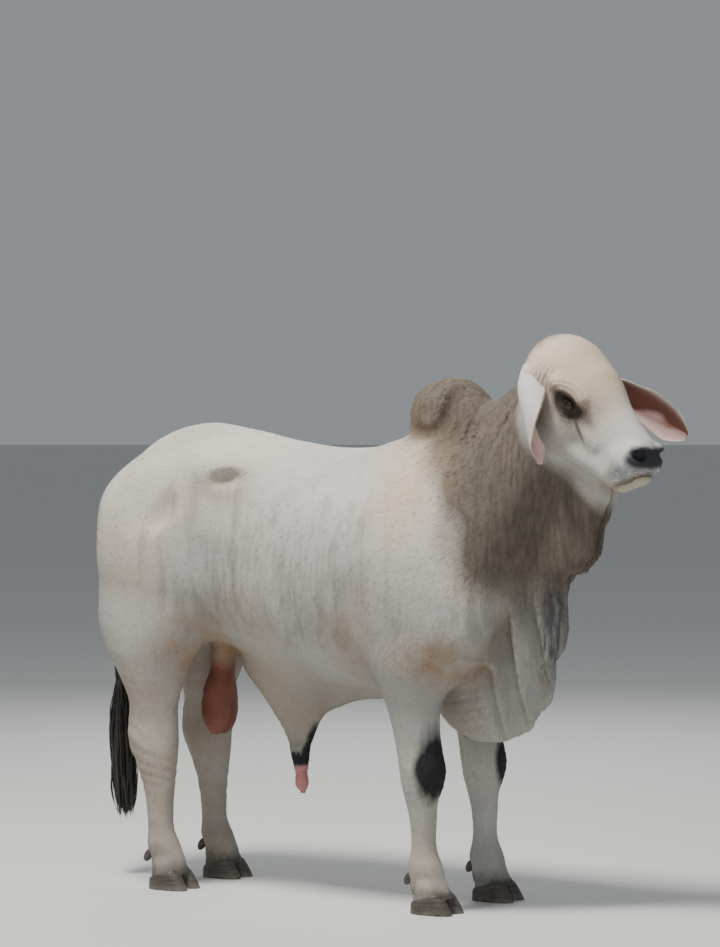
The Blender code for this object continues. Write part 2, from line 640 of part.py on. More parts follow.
def boolean(obj, other, operation):
    """One Boolean with a helper, applied; the helper is then removed."""
    change = obj.modifiers.new("cut", "BOOLEAN")
    change.operation = operation
    change.object = other
    apply_modifiers(obj)
    bpy.data.objects.remove(other)


def keep_largest(obj):
    """Drop every closed surface of the mesh but the one that holds the most."""
    mesh = obj.data
    mesh.calc_loop_triangles()
    corners = np.array([t.vertices[:] for t in mesh.loop_triangles])
    points = np.array([v.co[:] for v in mesh.vertices])
    group = np.arange(len(points))
    while True:
        least = group[corners].min(1)
        before = group.copy()
        for k in range(3):
            np.minimum.at(group, corners[:, k], least)
        group = group[group]
        if (group == before).all():
            break
    a, b, c = points[corners].transpose(1, 0, 2)
    volume = np.einsum("ij,ij->i", a, np.cross(b, c))
    held = {g: volume[group[corners[:, 0]] == g].sum() for g in np.unique(group[corners[:, 0]])}
    best = max(held, key=held.get)
    faces = [p.vertices[:] for p in mesh.polygons if group[p.vertices[0]] == best]
    used = sorted({v for f in faces for v in f})
    number = {v: i for i, v in enumerate(used)}
    fresh = bpy.data.meshes.new(mesh.name)
    fresh.from_pydata([tuple(points[v]) for v in used], [], [[number[v] for v in f] for f in faces])
    for material in mesh.materials:
        fresh.materials.append(material)
    obj.data = fresh


def grown_outline(outline, margin):
    """The side-view outline with each edge moved outward by the margin."""
    pts = np.array(outline)
    if (pts[:, 0] * np.roll(pts[:, 1], -1) - np.roll(pts[:, 0], -1) * pts[:, 1]).sum() < 0:
        pts = pts[::-1]
    edge = np.roll(pts, -1, 0) - pts
    out = np.stack([edge[:, 1], -edge[:, 0]], 1) / np.linalg.norm(edge, axis=1)[:, None]
    before = np.roll(out, 1, 0)
    corner = (out + before) / (1 + (out * before).sum(1))[:, None]
    return pts + corner * margin


def prism(outline, right, left, margin=0.0):
    """A closed block with the side-view outline, from y = right to y = left."""
    ring = grown_outline(outline, margin)
    n = len(ring)
    points = [(x, y, z) for y in (right - margin, left + margin) for x, z in ring]
    faces = [tuple(range(n)), tuple(range(2 * n - 1, n - 1, -1))]
    faces += [(i, i + n, (i + 1) % n + n, (i + 1) % n) for i in range(n)]
    return new_object("cutter", points, faces)


def flesh(name, colour, low, high, cell, triangles, region=None, taken=()):
    """A node of the body: its surface within a box, thinned, then cut to its region."""
    values, corner = sampled(bull, low, high, cell)
    points, quads = surface_net(values, corner, cell)
    for _ in range(2):
        points = settled(bull, points, cell * 0.35)
    obj = new_object(name, points, quads, colour)
    thin = obj.modifiers.new("thin", "DECIMATE")
    thin.ratio = min(1.0, triangles / (2 * len(quads)))
    apply_modifiers(obj)
    if region:
        boolean(obj, prism(*region, margin=-GAP / 2), "INTERSECT")
    for other in taken:
        boolean(obj, prism(*other, margin=GAP / 2), "DIFFERENCE")
    keep_largest(obj)
    return obj


def sphere(centre, radius, segments=20, rings=12):
    """Points and faces of a ball."""
    points = [(0, 0, -1)]
    for i in range(1, rings):
        for k in range(segments):
            lift, turn = math.pi * i / rings, 2 * math.pi * k / segments
            points.append((math.sin(lift) * math.cos(turn), math.sin(lift) * math.sin(turn), -math.cos(lift)))
    points.append((0, 0, 1))
    top = len(points) - 1
    faces = []
    for k in range(segments):
        after = (k + 1) % segments
        faces.append((0, 1 + after, 1 + k))
        faces.append((top, top - segments + k, top - segments + after))
        for i in range(rings - 2):
            a, b = 1 + i * segments, 1 + (i + 1) * segments
            faces.append((a + k, a + after, b + after, b + k))
    return np.array(points) * radius + np.array(centre), faces


def eye(side):
    """An eyeball; gives the cutter that makes room for it in the head."""
    centre = from_head(EYE * (1, side, 1))
    new_object("eye_right" if side < 0 else "eye_left", *sphere(centre, EYE_RADIUS), "eye_wet")
    return new_object("cutter", *sphere(centre, EYE_RADIUS + GAP))


def ear_path(side, t):
    """The ear's middle line: the right ear hangs beside the cheek, the left one is held out."""
    root = from_head(np.array(EAR_ROOT) * (1, side, 1))
    if side < 0:
        out = -0.050 * np.sin(math.pi * np.clip(t * 1.1, 0, 1)) - 0.005 * t
        back = -0.004 * np.sin(math.pi * t) + 0.045 * t * t
        return root + np.stack([back, out, 0.032 - 0.317 * t**1.1], -1)
    return root + np.stack([0.256 * t, 0.236 * t, -0.200 * t**0.9], -1)


def ear_frame(facing, along, turn):
    """Where the cup's mouth looks and the direction across it, turned about the ear's own line."""
    normal = facing - along * (facing @ along)
    normal /= np.linalg.norm(normal)
    across = np.cross(along, normal)
    c, s = math.cos(turn), math.sin(turn)
    return c * normal + s * across, c * across - s * normal


def ear_shell(side):
    """The outer and the inner face of an ear, as rows of points from its root to its tip."""
    form = HANGING_EAR if side < 0 else HELD_OUT_EAR
    t = np.linspace(0, 1, EAR_ROWS)
    line = ear_path(side, t)
    along = np.gradient(line, axis=0)
    along /= np.linalg.norm(along, axis=1)[:, None]
    swell = form["base"] - form["taper"] * t + form["more"] * np.sin(math.pi * t**form["late"]) ** 0.8
    half = np.maximum(EAR_HALF_WIDTH * swell * (1 - t**form["blunt"]) ** 0.55, 0.012)
    turn = np.radians(np.interp(t, *form["turn"]))
    roll = np.radians(np.interp(t, *form["roll"]))
    v = np.linspace(-1, 1, EAR_SPANS + 1)
    shell = []
    for thick in (0.5, -0.5):
        for i in range(EAR_ROWS):
            normal, across = ear_frame(np.array(form["facing"]), along[i], turn[i])
            radius = half[i] / roll[i]
            angle = v * roll[i]
            depth = 0.0035 + 0.004 * (1 - t[i]) + 0.002 * (1 - v * v)
            r = radius + thick * depth
            shell.append(line[i] + np.outer(r * np.sin(angle), across) + np.outer(radius - r * np.cos(angle), normal))
    return np.concatenate(shell)


def ear(side):
    """A cupped leaf: rolled into a tube at its root, opening towards a rounded tip."""
    wide = EAR_SPANS + 1
    shift = EAR_ROWS * wide
    outer = [(i * wide + k, i * wide + k + 1, (i + 1) * wide + k + 1, (i + 1) * wide + k)
             for i in range(EAR_ROWS - 1) for k in range(EAR_SPANS)]
    faces = outer + [tuple(shift + j for j in reversed(f)) for f in outer]
    rim = list(range(wide)) + [i * wide + EAR_SPANS for i in range(1, EAR_ROWS)]
    rim += [(EAR_ROWS - 1) * wide + k for k in range(EAR_SPANS - 1, -1, -1)]
    rim += [i * wide for i in range(EAR_ROWS - 2, 0, -1)]
    faces += [(a, a + shift, b + shift, b) for a, b in zip(rim, rim[1:] + rim[:1])]
    triangles = [half for a, b, c, d in faces for half in ((a, b, c), (a, c, d))]
    obj = new_object("ear_right" if side < 0 else "ear_left", ear_shell(side), triangles, "ear_hide")
    face_outward(obj)
    return obj


def face_outward(obj):
    """Turn the mesh round if it is inside out."""
    mesh = obj.data
    mesh.calc_loop_triangles()
    points = np.array([v.co[:] for v in mesh.vertices])
    a, b, c = points[np.array([t.vertices[:] for t in mesh.loop_triangles])].transpose(1, 0, 2)
    if np.einsum("ij,ij->i", a, np.cross(b, c)).sum() < 0:
        mesh.flip_normals()


def swollen(obj, margin):
    """A copy of the mesh with every vertex moved out along its normal."""
    mesh = obj.data
    points = [v.co + n.vector * margin for v, n in zip(mesh.vertices, mesh.vertex_normals)]
    return new_object("cutter", points, [p.vertices[:] for p in mesh.polygons])


def dewclaw(name, at):
    """A blunt horn bump low behind the fetlock; gives the cutter that makes room for it in the leg."""
    points, faces = sphere((0, 0, 0), 1.0, 10, 6)
    c, s = math.cos(DEWCLAW_LEAN), math.sin(DEWCLAW_LEAN)

    def placed(margin):
        """The bump's points, a little larger all round by the margin."""
        x, y, z = (points * (np.array(DEWCLAW_RADII) + margin)).T
        return np.stack([c * x + s * z, y, c * z - s * x], 1) + np.array(at)

    new_object(name, placed(0), faces, "hoof_horn")
    return new_object("cutter", placed(GAP), faces)


def lock(start, end, bow, width, thick, stations=6):
    """A flat hair lock that tapers to its tip, bent sideways by the bow."""
    start, end, bow = np.array(start), np.array(end), np.array(bow)
    down = (end - start) / np.linalg.norm(end - start)
    across = np.cross(down, (math.cos(40 * start[1]), math.sin(40 * start[1]), 0.3))
    across /= np.linalg.norm(across)
    out = np.cross(across, down)
    points, faces = [], []
    for i in range(stations):
        t = i / stations
        middle = start + (end - start) * t + bow * math.sin(math.pi * t)
        full = math.sin(math.pi * (0.25 + 0.72 * t))
        points += [middle + across * width * full, middle + out * thick * full,
                   middle - across * width * full, middle - out * thick * full]
    points.append(end)
    tip = len(points) - 1
    for i in range(stations - 1):
        for k in range(4):
            a, b = 4 * i + k, 4 * i + (k + 1) % 4
            faces += [(a, b, b + 4), (a, b + 4, a + 4)]
    faces += [(4 * (stations - 1) + k, 4 * (stations - 1) + (k + 1) % 4, tip) for k in range(4)]
    faces += [(2, 1, 0), (3, 2, 0)]
    return points, faces


def switch_core():
    """The slim body of the brush, from the end of the tail down."""
    middle = TAIL[-1][0][0]
    rings = ((SWITCH_TOP - GAP / 2, 0.021), *SWITCH_CORE)
    points = [(middle + 0.03 * (SWITCH_TOP - z) + r * math.cos(k * math.pi / 4), r * math.sin(k * math.pi / 4), z)
              for z, r in rings for k in range(8)]
    faces = [tuple(range(8)), tuple(reversed(range(32, 40)))]
    faces += [(8 * i + k, 8 * i + 8 + k, 8 * i + 8 + (k + 1) % 8, 8 * i + (k + 1) % 8)
              for i in range(4) for k in range(8)]
    core = new_object("tail_switch", points, faces, "black_hair")
    face_outward(core)
    return core


def switch_lock(i, draw):
    """One lock of the brush; the upper ones hang over the lower."""
    turn = GOLDEN_TURN * i + draw.uniform(-0.2, 0.2)
    level = i / SWITCH_LOCKS
    z = SWITCH_TOP - 0.035 - 0.24 * level
    side = np.array([math.cos(turn), math.sin(turn), 0])
    start = np.array([TAIL[-1][0][0] + 0.006, 0, z]) + side * 0.012
    fall = (0.20 + 0.14 * draw.random()) if level < 0.5 else (z - SWITCH_END - 0.06 * draw.random())
    end = start + side * draw.uniform(0.012, 0.034) + np.array([0.010, 0, -fall])
    points, faces = lock(start, end, side * 0.022, draw.uniform(0.013, 0.019), draw.uniform(0.005, 0.007))
    piece = new_object(f"lock_{i}", points, faces)
    face_outward(piece)
    return piece


def switch():
    """The black brush of the tail: a slim core and a fall of flat locks fused to it."""
    draw = random.Random(7)
    core = switch_core()
    group = bpy.data.collections.new("locks")
    bpy.context.scene.collection.children.link(group)
    for i in range(SWITCH_LOCKS):
        piece = switch_lock(i, draw)
        bpy.context.scene.collection.objects.unlink(piece)
        group.objects.link(piece)
    fuse = core.modifiers.new("fuse", "BOOLEAN")
    fuse.operation = "UNION"
    fuse.operand_type = "COLLECTION"
    fuse.collection = group
    fuse.solver = "MANIFOLD"
    apply_modifiers(core)
    for piece in list(group.objects):
        bpy.data.objects.remove(piece)
    bpy.data.collections.remove(group)
    keep_largest(core)


def claw_regions():
    """Each claw's name and its block, one on each side of each foot's cleft."""
    regions = {}
    for name, (table, side, forward, foot) in LEGS.items():
        middle = side * table[0][3]
        outline = [(x + foot + forward, z) for x, z in CLAW_SIDE]
        for label, outward in (("outer", side), ("inner", -side)):
            near, far = sorted((middle, middle + outward * 0.09))
            regions[f"claw_{name}_{label}"] = (outline, near, far)
    return regions


def leg_region(name):
    """The leg's outline in the side view, and its reach from right to left."""
    side = LEGS[name][1]
    hind = name.startswith("hind")
    right, left = sorted((side * (GROIN_HALF if hind else DEWLAP_HALF), side * WIDE))
    return (HINDLEG_SIDE if hind else FORELEG_SIDE, right, left)


def build_leg(name):
    """A leg down to its coronet, with room cut for its dewclaws, and the dewclaws."""
    table, side, forward, foot = LEGS[name]
    outline, right, left = leg_region(name)
    back, front = min(x for x, _ in outline), max(x for x, _ in outline)
    near, far = sorted((side * LEG_BOX[0], side * LEG_BOX[1]))
    top = HINDLEG_TOP if name.startswith("hind") else FORELEG_TOP
    middle = side * table[0][3]
    feet = ([(x + foot + forward, z) for x, z in CLAW_SIDE], middle - FOOT_HALF, middle + FOOT_HALF)
    low, high = (back - 0.02, near, -0.03), (front + 0.02, far, top)
    obj = flesh(name, "white_hide", low, high, 0.011, 620, (outline, right, left), [feet])
    heel = table[2][1] + forward + 0.010
    for label, across in (("outer", side), ("inner", -side)):
        at = (heel, middle + across * DEWCLAW_APART, DEWCLAW_HEIGHT)
        boolean(obj, dewclaw(f"dewclaw_{name}_{label}", at), "DIFFERENCE")
    keep_largest(obj)


def build_claws():
    """The eight claws, each with its own half of the foot."""
    for name, (outline, near, far) in claw_regions().items():
        back, front = min(x for x, _ in outline), max(x for x, _ in outline)
        low, high = (back, near - 0.02, -0.03), (front, far + 0.02, 0.13)
        flesh(name, "hoof_horn", low, high, 0.006, 170, (outline, near, far))


def build_head():
    """The head with room cut for its eyes, the eyes, and the ears cut to lie against it."""
    obj = flesh("head", "face_hide", (0.76, -0.24, 1.22), (1.42, 0.20, 1.92), 0.0062, 3900, (HEAD_SIDE, -WIDE, WIDE))
    for side in (-1, 1):
        boolean(obj, eye(side), "DIFFERENCE")
    keep_largest(obj)
    for side in (-1, 1):
        ear_object = ear(side)
        boolean(ear_object, swollen(obj, 3 * GAP), "DIFFERENCE")
        keep_largest(ear_object)


def build_trunk():
    """The torso, and the parts of the body that are named on it."""
    taken = [region for *_, region in TRUNK_NODES] + [leg_region(name) for name in LEGS]
    flesh("torso", "white_hide", (-0.80, -0.37, 0.62), (1.00, 0.37, 1.72), 0.016, 2900, None, taken)
    for name, colour, low, high, cell, triangles, region in TRUNK_NODES:
        flesh(name, colour, low, high, cell, triangles, region)


def main():
    """Build every node, then bring the middle of the plan to the origin."""
    clear_scene()
    for name in LEGS:
        build_leg(name)
    build_claws()
    build_head()
    build_trunk()
    switch()
    for obj in bpy.data.objects:
        obj.data.shade_smooth()
        obj.location = [-c for c in MIDDLE]


main()
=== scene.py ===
"""A standing Brahman bull, life size: skin, coat, ears, eyes, hooves and tail.

The skin is the surface of one smooth distance field, made of lofts, ellipsoids and tapered
limbs that blend where they meet. It is a coarse net at first, whose edges are split where
the form is fine, and settled onto the field again after each split. Masks worked out at each
point of the skin say where the hide is grey, black, pink or bare, and the tufts of the coat
take the same masks at their roots. Sizes are given in the bull's own frame, and everything
is moved by MIDDLE at the end, so that it stands where the solids stand.
"""

import logging
import math
from collections.abc import Callable
from dataclasses import dataclass
from enum import Enum
from functools import partial

import bpy
import numpy as np
from mathutils import Matrix


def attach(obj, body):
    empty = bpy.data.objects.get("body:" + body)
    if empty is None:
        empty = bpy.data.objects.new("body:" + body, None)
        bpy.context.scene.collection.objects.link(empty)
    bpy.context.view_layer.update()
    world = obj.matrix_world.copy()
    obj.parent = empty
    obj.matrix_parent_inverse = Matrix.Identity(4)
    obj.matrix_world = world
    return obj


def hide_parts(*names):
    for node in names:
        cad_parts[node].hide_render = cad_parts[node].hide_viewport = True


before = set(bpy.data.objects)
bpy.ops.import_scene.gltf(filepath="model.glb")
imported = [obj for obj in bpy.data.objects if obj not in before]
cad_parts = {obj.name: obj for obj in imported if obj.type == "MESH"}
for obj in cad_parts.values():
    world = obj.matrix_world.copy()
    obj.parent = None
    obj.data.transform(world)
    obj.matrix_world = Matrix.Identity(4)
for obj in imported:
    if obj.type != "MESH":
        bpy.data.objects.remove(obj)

logging.basicConfig(level=logging.INFO, format="%(message)s")
log = logging.getLogger("bull")

Array = np.ndarray
Field = Callable[[Array], Array]
# the middle of the plan in the frame that the sizes below are given in
MIDDLE = np.array([0.293, 0.018, 0.0])
# how far in the skin lies, how much further under the horn, and the height of its lower end
COAT_DEPTH = 0.002
HORN_DEPTH = 0.004
SKIN_FOOT = 0.005

TRUNK = (
    # x, underside, topline, height of the widest place, half width, power of the upper half
    (-0.740, 1.130, 1.250, 1.190, 0.050, 2.0),
    (-0.700, 1.010, 1.350, 1.190, 0.150, 2.0),
    (-0.570, 0.900, 1.478, 1.180, 0.232, 2.1),
    (-0.380, 0.840, 1.553, 1.180, 0.258, 2.2),
    (-0.200, 0.795, 1.535, 1.150, 0.268, 2.2),
    (-0.020, 0.735, 1.499, 1.090, 0.292, 2.1),
    (0.180, 0.692, 1.475, 1.050, 0.312, 2.0),
    (0.400, 0.680, 1.487, 1.040, 0.300, 1.9),
    (0.570, 0.700, 1.510, 1.040, 0.272, 1.75),
    (0.690, 0.775, 1.570, 1.100, 0.225, 1.75),
    (0.780, 0.880, 1.645, 1.180, 0.190, 1.8),
    (0.860, 1.030, 1.700, 1.290, 0.163, 1.9),
    (0.940, 1.200, 1.715, 1.420, 0.140, 2.0),
    (1.010, 1.330, 1.680, 1.500, 0.105, 2.0),
    (1.060, 1.430, 1.600, 1.520, 0.050, 2.0),
)
HIND_LEG = (
    # height, back, front, distance of the middle from the midline, half width
    (0.050, -0.478, -0.345, 0.165, 0.050),
    (0.100, -0.480, -0.358, 0.165, 0.047),
    (0.145, -0.492, -0.380, 0.165, 0.053),
    (0.190, -0.492, -0.400, 0.165, 0.043),
    (0.260, -0.498, -0.404, 0.165, 0.041),
    (0.345, -0.514, -0.398, 0.165, 0.046),
    (0.420, -0.542, -0.390, 0.165, 0.056),
    (0.490, -0.572, -0.384, 0.165, 0.061),
    (0.550, -0.574, -0.384, 0.165, 0.056),
    (0.615, -0.566, -0.384, 0.168, 0.062),
    (0.710, -0.602, -0.352, 0.172, 0.080),
    (0.800, -0.655, -0.305, 0.172, 0.098),
    (0.900, -0.695, -0.270, 0.155, 0.106),
    (1.020, -0.680, -0.290, 0.120, 0.085),
    (1.120, -0.600, -0.370, 0.080, 0.040),
)
FORE_LEG = (
    (0.050, 0.545, 0.690, 0.178, 0.050),
    (0.100, 0.538, 0.662, 0.178, 0.048),
    (0.145, 0.534, 0.648, 0.178, 0.054),
    (0.190, 0.542, 0.630, 0.178, 0.043),
    (0.290, 0.538, 0.628, 0.178, 0.041),
    (0.350, 0.524, 0.632, 0.178, 0.047),
    (0.400, 0.510, 0.650, 0.178, 0.057),
    (0.450, 0.502, 0.659, 0.178, 0.063),
    (0.510, 0.492, 0.648, 0.178, 0.060),
    (0.580, 0.478, 0.638, 0.180, 0.063),
    (0.700, 0.450, 0.645, 0.186, 0.080),
    (0.800, 0.430, 0.660, 0.188, 0.088),
    (0.900, 0.440, 0.660, 0.165, 0.075),
    (1.000, 0.490, 0.620, 0.120, 0.040),
)
CLAW = (
    # one claw of a hoof, measured from the middle of its foot
    (-0.006, -0.062, 0.091, 0.0365, 0.0345),
    (0.030, -0.060, 0.070, 0.0360, 0.0345),
    (0.060, -0.054, 0.048, 0.0350, 0.0320),
    (0.085, -0.045, 0.026, 0.0330, 0.0270),
    (0.105, -0.030, 0.010, 0.0310, 0.0180),
)
LOWER_POWER = 2.2
TAIL = (
    # the tail's centre line from its root to its bony tip, with its radius
    ((-0.590, 0, 1.395), 0.058),
    ((-0.672, 0, 1.345), 0.048),
    ((-0.728, 0, 1.255), 0.039),
    ((-0.752, 0, 1.140), 0.032),
    ((-0.752, 0, 0.920), 0.027),
    ((-0.738, 0, 0.740), 0.022),
    ((-0.730, 0, 0.630), 0.018),
)
SWITCH_TOP = 0.660
SWITCH_END = 0.175


@dataclass(frozen=True)
class Foot:
    """One leg of the bull.

    table is the leg's sections, side is -1 for the right and 1 for the left, forward is the
    step that the leg is moved by, and foot is the middle of its sole along the body.
    """

    table: tuple
    side: int
    forward: float
    foot: float

    @property
    def middle(self) -> float:
        """The distance of the sole's middle from the midline, with its sign."""
        return self.side * self.table[0][3]

    @property
    def sole(self) -> Array:
        """The middle of the sole on the ground."""
        return np.array([self.foot + self.forward, self.middle, 0])


LEGS = {
    "hindleg_right": Foot(HIND_LEG, -1, 0.0, -0.405),
    "hindleg_left": Foot(HIND_LEG, 1, -0.010, -0.405),
    "foreleg_right": Foot(FORE_LEG, -1, 0.0, 0.622),
    "foreleg_left": Foot(FORE_LEG, 1, 0.020, 0.622),
}

# the head's own frame: x runs from the poll to the muzzle, y to its left, z out of the forehead
POLL = np.array([0.945, -0.010, 1.775])
HEAD_PITCH = math.radians(45)
HEAD_YAW = math.radians(-12)
EYE = np.array([0.233, 0.100, 0.006])
EYE_RADIUS = 0.021
EYE_OUTWARD = np.array([0.25, 0.93, 0.27]) / math.hypot(0.25, 0.93, 0.27)
# the muzzle's own frame: its middle in the head's frame, and how far it is tipped up
MUZZLE = np.array([0.482, 0, 0.014])
MUZZLE_TIP = math.radians(28)
MOUTH_FRONT = 0.076
MOUTH_CORNER = -0.055
EAR_HALF_WIDTH = 0.074
# the middle of the nostril in the muzzle's frame
NOSTRIL = np.array([0.055, 0.056, 0.028])
# the line of the crease around the hump's foot
HUMP_CREASE = (
    (0.500, 0.108, 1.535),
    (0.545, 0.108, 1.524),
    (0.596, 0.112, 1.535),
    (0.630, 0.102, 1.590),
    (0.642, 0.070, 1.660),
)


# distance fields: each takes an array of points and gives one number for each, negative inside


def union(a: Array, b: Array, soft: float) -> Array:
    """Blend two forms: the lesser distance, less a quarter of soft times their closeness squared.

    Args:
        a: distances of the first form.
        b: distances of the second form.
        soft: the width of the fillet between them.

    Returns:
        The distances of both together.
    """
    blend = np.clip(soft - np.abs(a - b), 0, None) / soft
    return np.minimum(a, b) - blend * blend * soft * 0.25


def carve(a: Array, b: Array, soft: float) -> Array:
    """The first form less the second, with a rounded edge as wide as soft."""
    return -union(-a, b, soft)


def ellipsoid(p: Array, centre: tuple, radii: tuple, pitch: float = 0.0) -> Array:
    """Distance to an ellipsoid: k (k - 1) over the slope of k, k being the scaled radius.

    Args:
        p: the points.
        centre: its middle.
        radii: its half axes.
        pitch: how far it is turned about the side-to-side axis, in radians.

    Returns:
        The distances.
    """
    q = p - np.array(centre)
    if pitch:
        c, s = math.cos(pitch), math.sin(pitch)
        q = np.stack([c * q[:, 0] - s * q[:, 2], q[:, 1], s * q[:, 0] + c * q[:, 2]], 1)
    r = np.array(radii)
    k0 = np.sqrt(((q / r) ** 2).sum(1))
    k1 = np.sqrt(((q / (r * r)) ** 2).sum(1))
    return k0 * (k0 - 1) / np.maximum(k1, 1e-6)


def limb(
    p: Array, start: tuple, end: tuple, start_radius: float, end_radius: float, flat: float = 1.0
) -> Array:
    """Distance to a tapered rod with round ends: the reach from its line less the radius there.

    Args:
        p: the points.
        start: the middle of its first end.
        end: the middle of its second end.
        start_radius: the radius at start.
        end_radius: the radius at end.
        flat: below 1 makes it narrower from side to side.

    Returns:
        The distances.
    """
    a, b = np.array(start, float), np.array(end, float)
    squash = np.array([1, 1 / flat, 1])
    q, along = (p - a) * squash, (b - a) * squash
    t = np.clip(q @ along / (along @ along), 0, 1)
    reach = np.sqrt(((q - t[:, None] * along) ** 2).sum(1))
    return (reach - (start_radius + t * (end_radius - start_radius))) * min(1.0, flat)


def curve_through(at: Array, stations: Array, values: Array) -> Array:
    """Cubic pieces through the values at the stations, with the slopes of their neighbours."""
    slopes = np.gradient(values, stations)
    i = np.clip(np.searchsorted(stations, at) - 1, 0, len(stations) - 2)
    step = stations[i + 1] - stations[i]
    t = (at - stations[i]) / step
    start = (2 * t**3 - 3 * t**2 + 1) * values[i] + (t**3 - 2 * t**2 + t) * step * slopes[i]
    end = (3 * t**2 - 2 * t**3) * values[i + 1] + (t**3 - t**2) * step * slopes[i + 1]
    return start + end


def loft(p: Array, axis: int, columns: tuple, lower_power: float) -> Array:
    """Distance to a body whose sections are superellipses, |u|^n + |w|^n = 1.

    Args:
        p: the points.
        axis: 0 for a body along x, 2 for one along z.
        columns: stations, low and high side, widest place, centre, half width, power.
        lower_power: the power of the half below the widest place.

    Returns:
        The distances.
    """
    stations, low, high, widest, centre, half, power = columns
    at = np.clip(p[:, axis], stations[0], stations[-1])
    low, high, widest, centre, half, power = (
        curve_through(at, stations, values) for values in (low, high, widest, centre, half, power)
    )
    across = p[:, 2 - axis]
    upper = across > widest
    reach = np.where(upper, high - widest, widest - low)
    n = np.where(upper, power, lower_power)
    u = np.abs(p[:, 1] - centre) / half
    w = np.abs(across - widest) / reach
    k = np.maximum(u**n + w**n, 1e-9) ** (1 / n)
    slope = np.maximum(k, 1e-3) ** (1 - n) * np.hypot(u ** (n - 1) / half, w ** (n - 1) / reach)
    d = (k - 1) / np.maximum(slope, 1.0)
    beyond = np.maximum(stations[0] - p[:, axis], p[:, axis] - stations[-1])
    return np.where(beyond > 0, np.hypot(np.maximum(d, 0), beyond), np.maximum(d, beyond))


def trunk_columns() -> tuple:
    """The trunk's table as the columns that loft takes."""
    x, low, high, widest, half, power = np.array(TRUNK).T
    return x, low, high, widest, np.zeros(len(x)), half, power


def upright_columns(table: tuple, side: int = 1, forward: float = 0.0) -> tuple:
    """A leg's or claw's table as the columns that loft takes."""
    z, back, front, middle, half = np.array(table).T
    back, front = back + forward, front + forward
    return z, back, front, (back + front) / 2, side * middle, half, np.full(len(z), LOWER_POWER)


def fade(value: Array, start: float, end: float) -> Array:
    """0 at start, 1 at end and a straight slope between."""
    return np.clip((value - start) / (end - start), 0, 1)


def bell(value: Array, width: float) -> Array:
    """1 where value is 0, falling off like a bell of the given width."""
    return np.exp(-((value / width) ** 2))


def waves(along: Array, length: float, shift: Array | float = 0.0) -> Array:
    """A sine wave of the given length along a distance, moved on by shift."""
    return np.sin(2 * math.pi * along / length + shift)


def unit(v: Array) -> Array:
    """Each row of an array of vectors at length 1."""
    return v / np.maximum(np.linalg.norm(v, axis=1, keepdims=True), 1e-12)


def along_skin(lie: Array, out: Array) -> Array:
    """What lie keeps once its part along the normals is taken away, at length 1."""
    return unit(lie - (lie * out).sum(1, keepdims=True) * out)


def mirrored(p: Array) -> Array:
    """The points with their sideways coordinate made positive."""
    m = p.copy()
    m[:, 1] = np.abs(m[:, 1])
    return m


def head_axes() -> Array:
    """The head's three axes as columns: forward, left and out of the forehead."""
    cp, sp = math.cos(HEAD_PITCH), math.sin(HEAD_PITCH)
    cy, sy = math.cos(HEAD_YAW), math.sin(HEAD_YAW)
    forward = np.array([cp * cy, cp * sy, -sp])
    left = np.array([-sy, cy, 0.0])
    return np.stack([forward, left, np.cross(forward, left)], 1)


def to_head(p: Array) -> Array:
    """The points in the head's frame."""
    return (p - POLL) @ head_axes()


def to_muzzle(h: Array) -> Array:
    """Points of the head's frame in the muzzle's."""
    q = h - MUZZLE
    c, s = math.cos(MUZZLE_TIP), math.sin(MUZZLE_TIP)
    return np.stack([c * q[:, 0] + s * q[:, 2], q[:, 1], c * q[:, 2] - s * q[:, 0]], 1)


def from_head(h: Array) -> Array:
    """Points of the head's frame in the bull's frame."""
    return POLL + np.asarray(h) @ head_axes().T


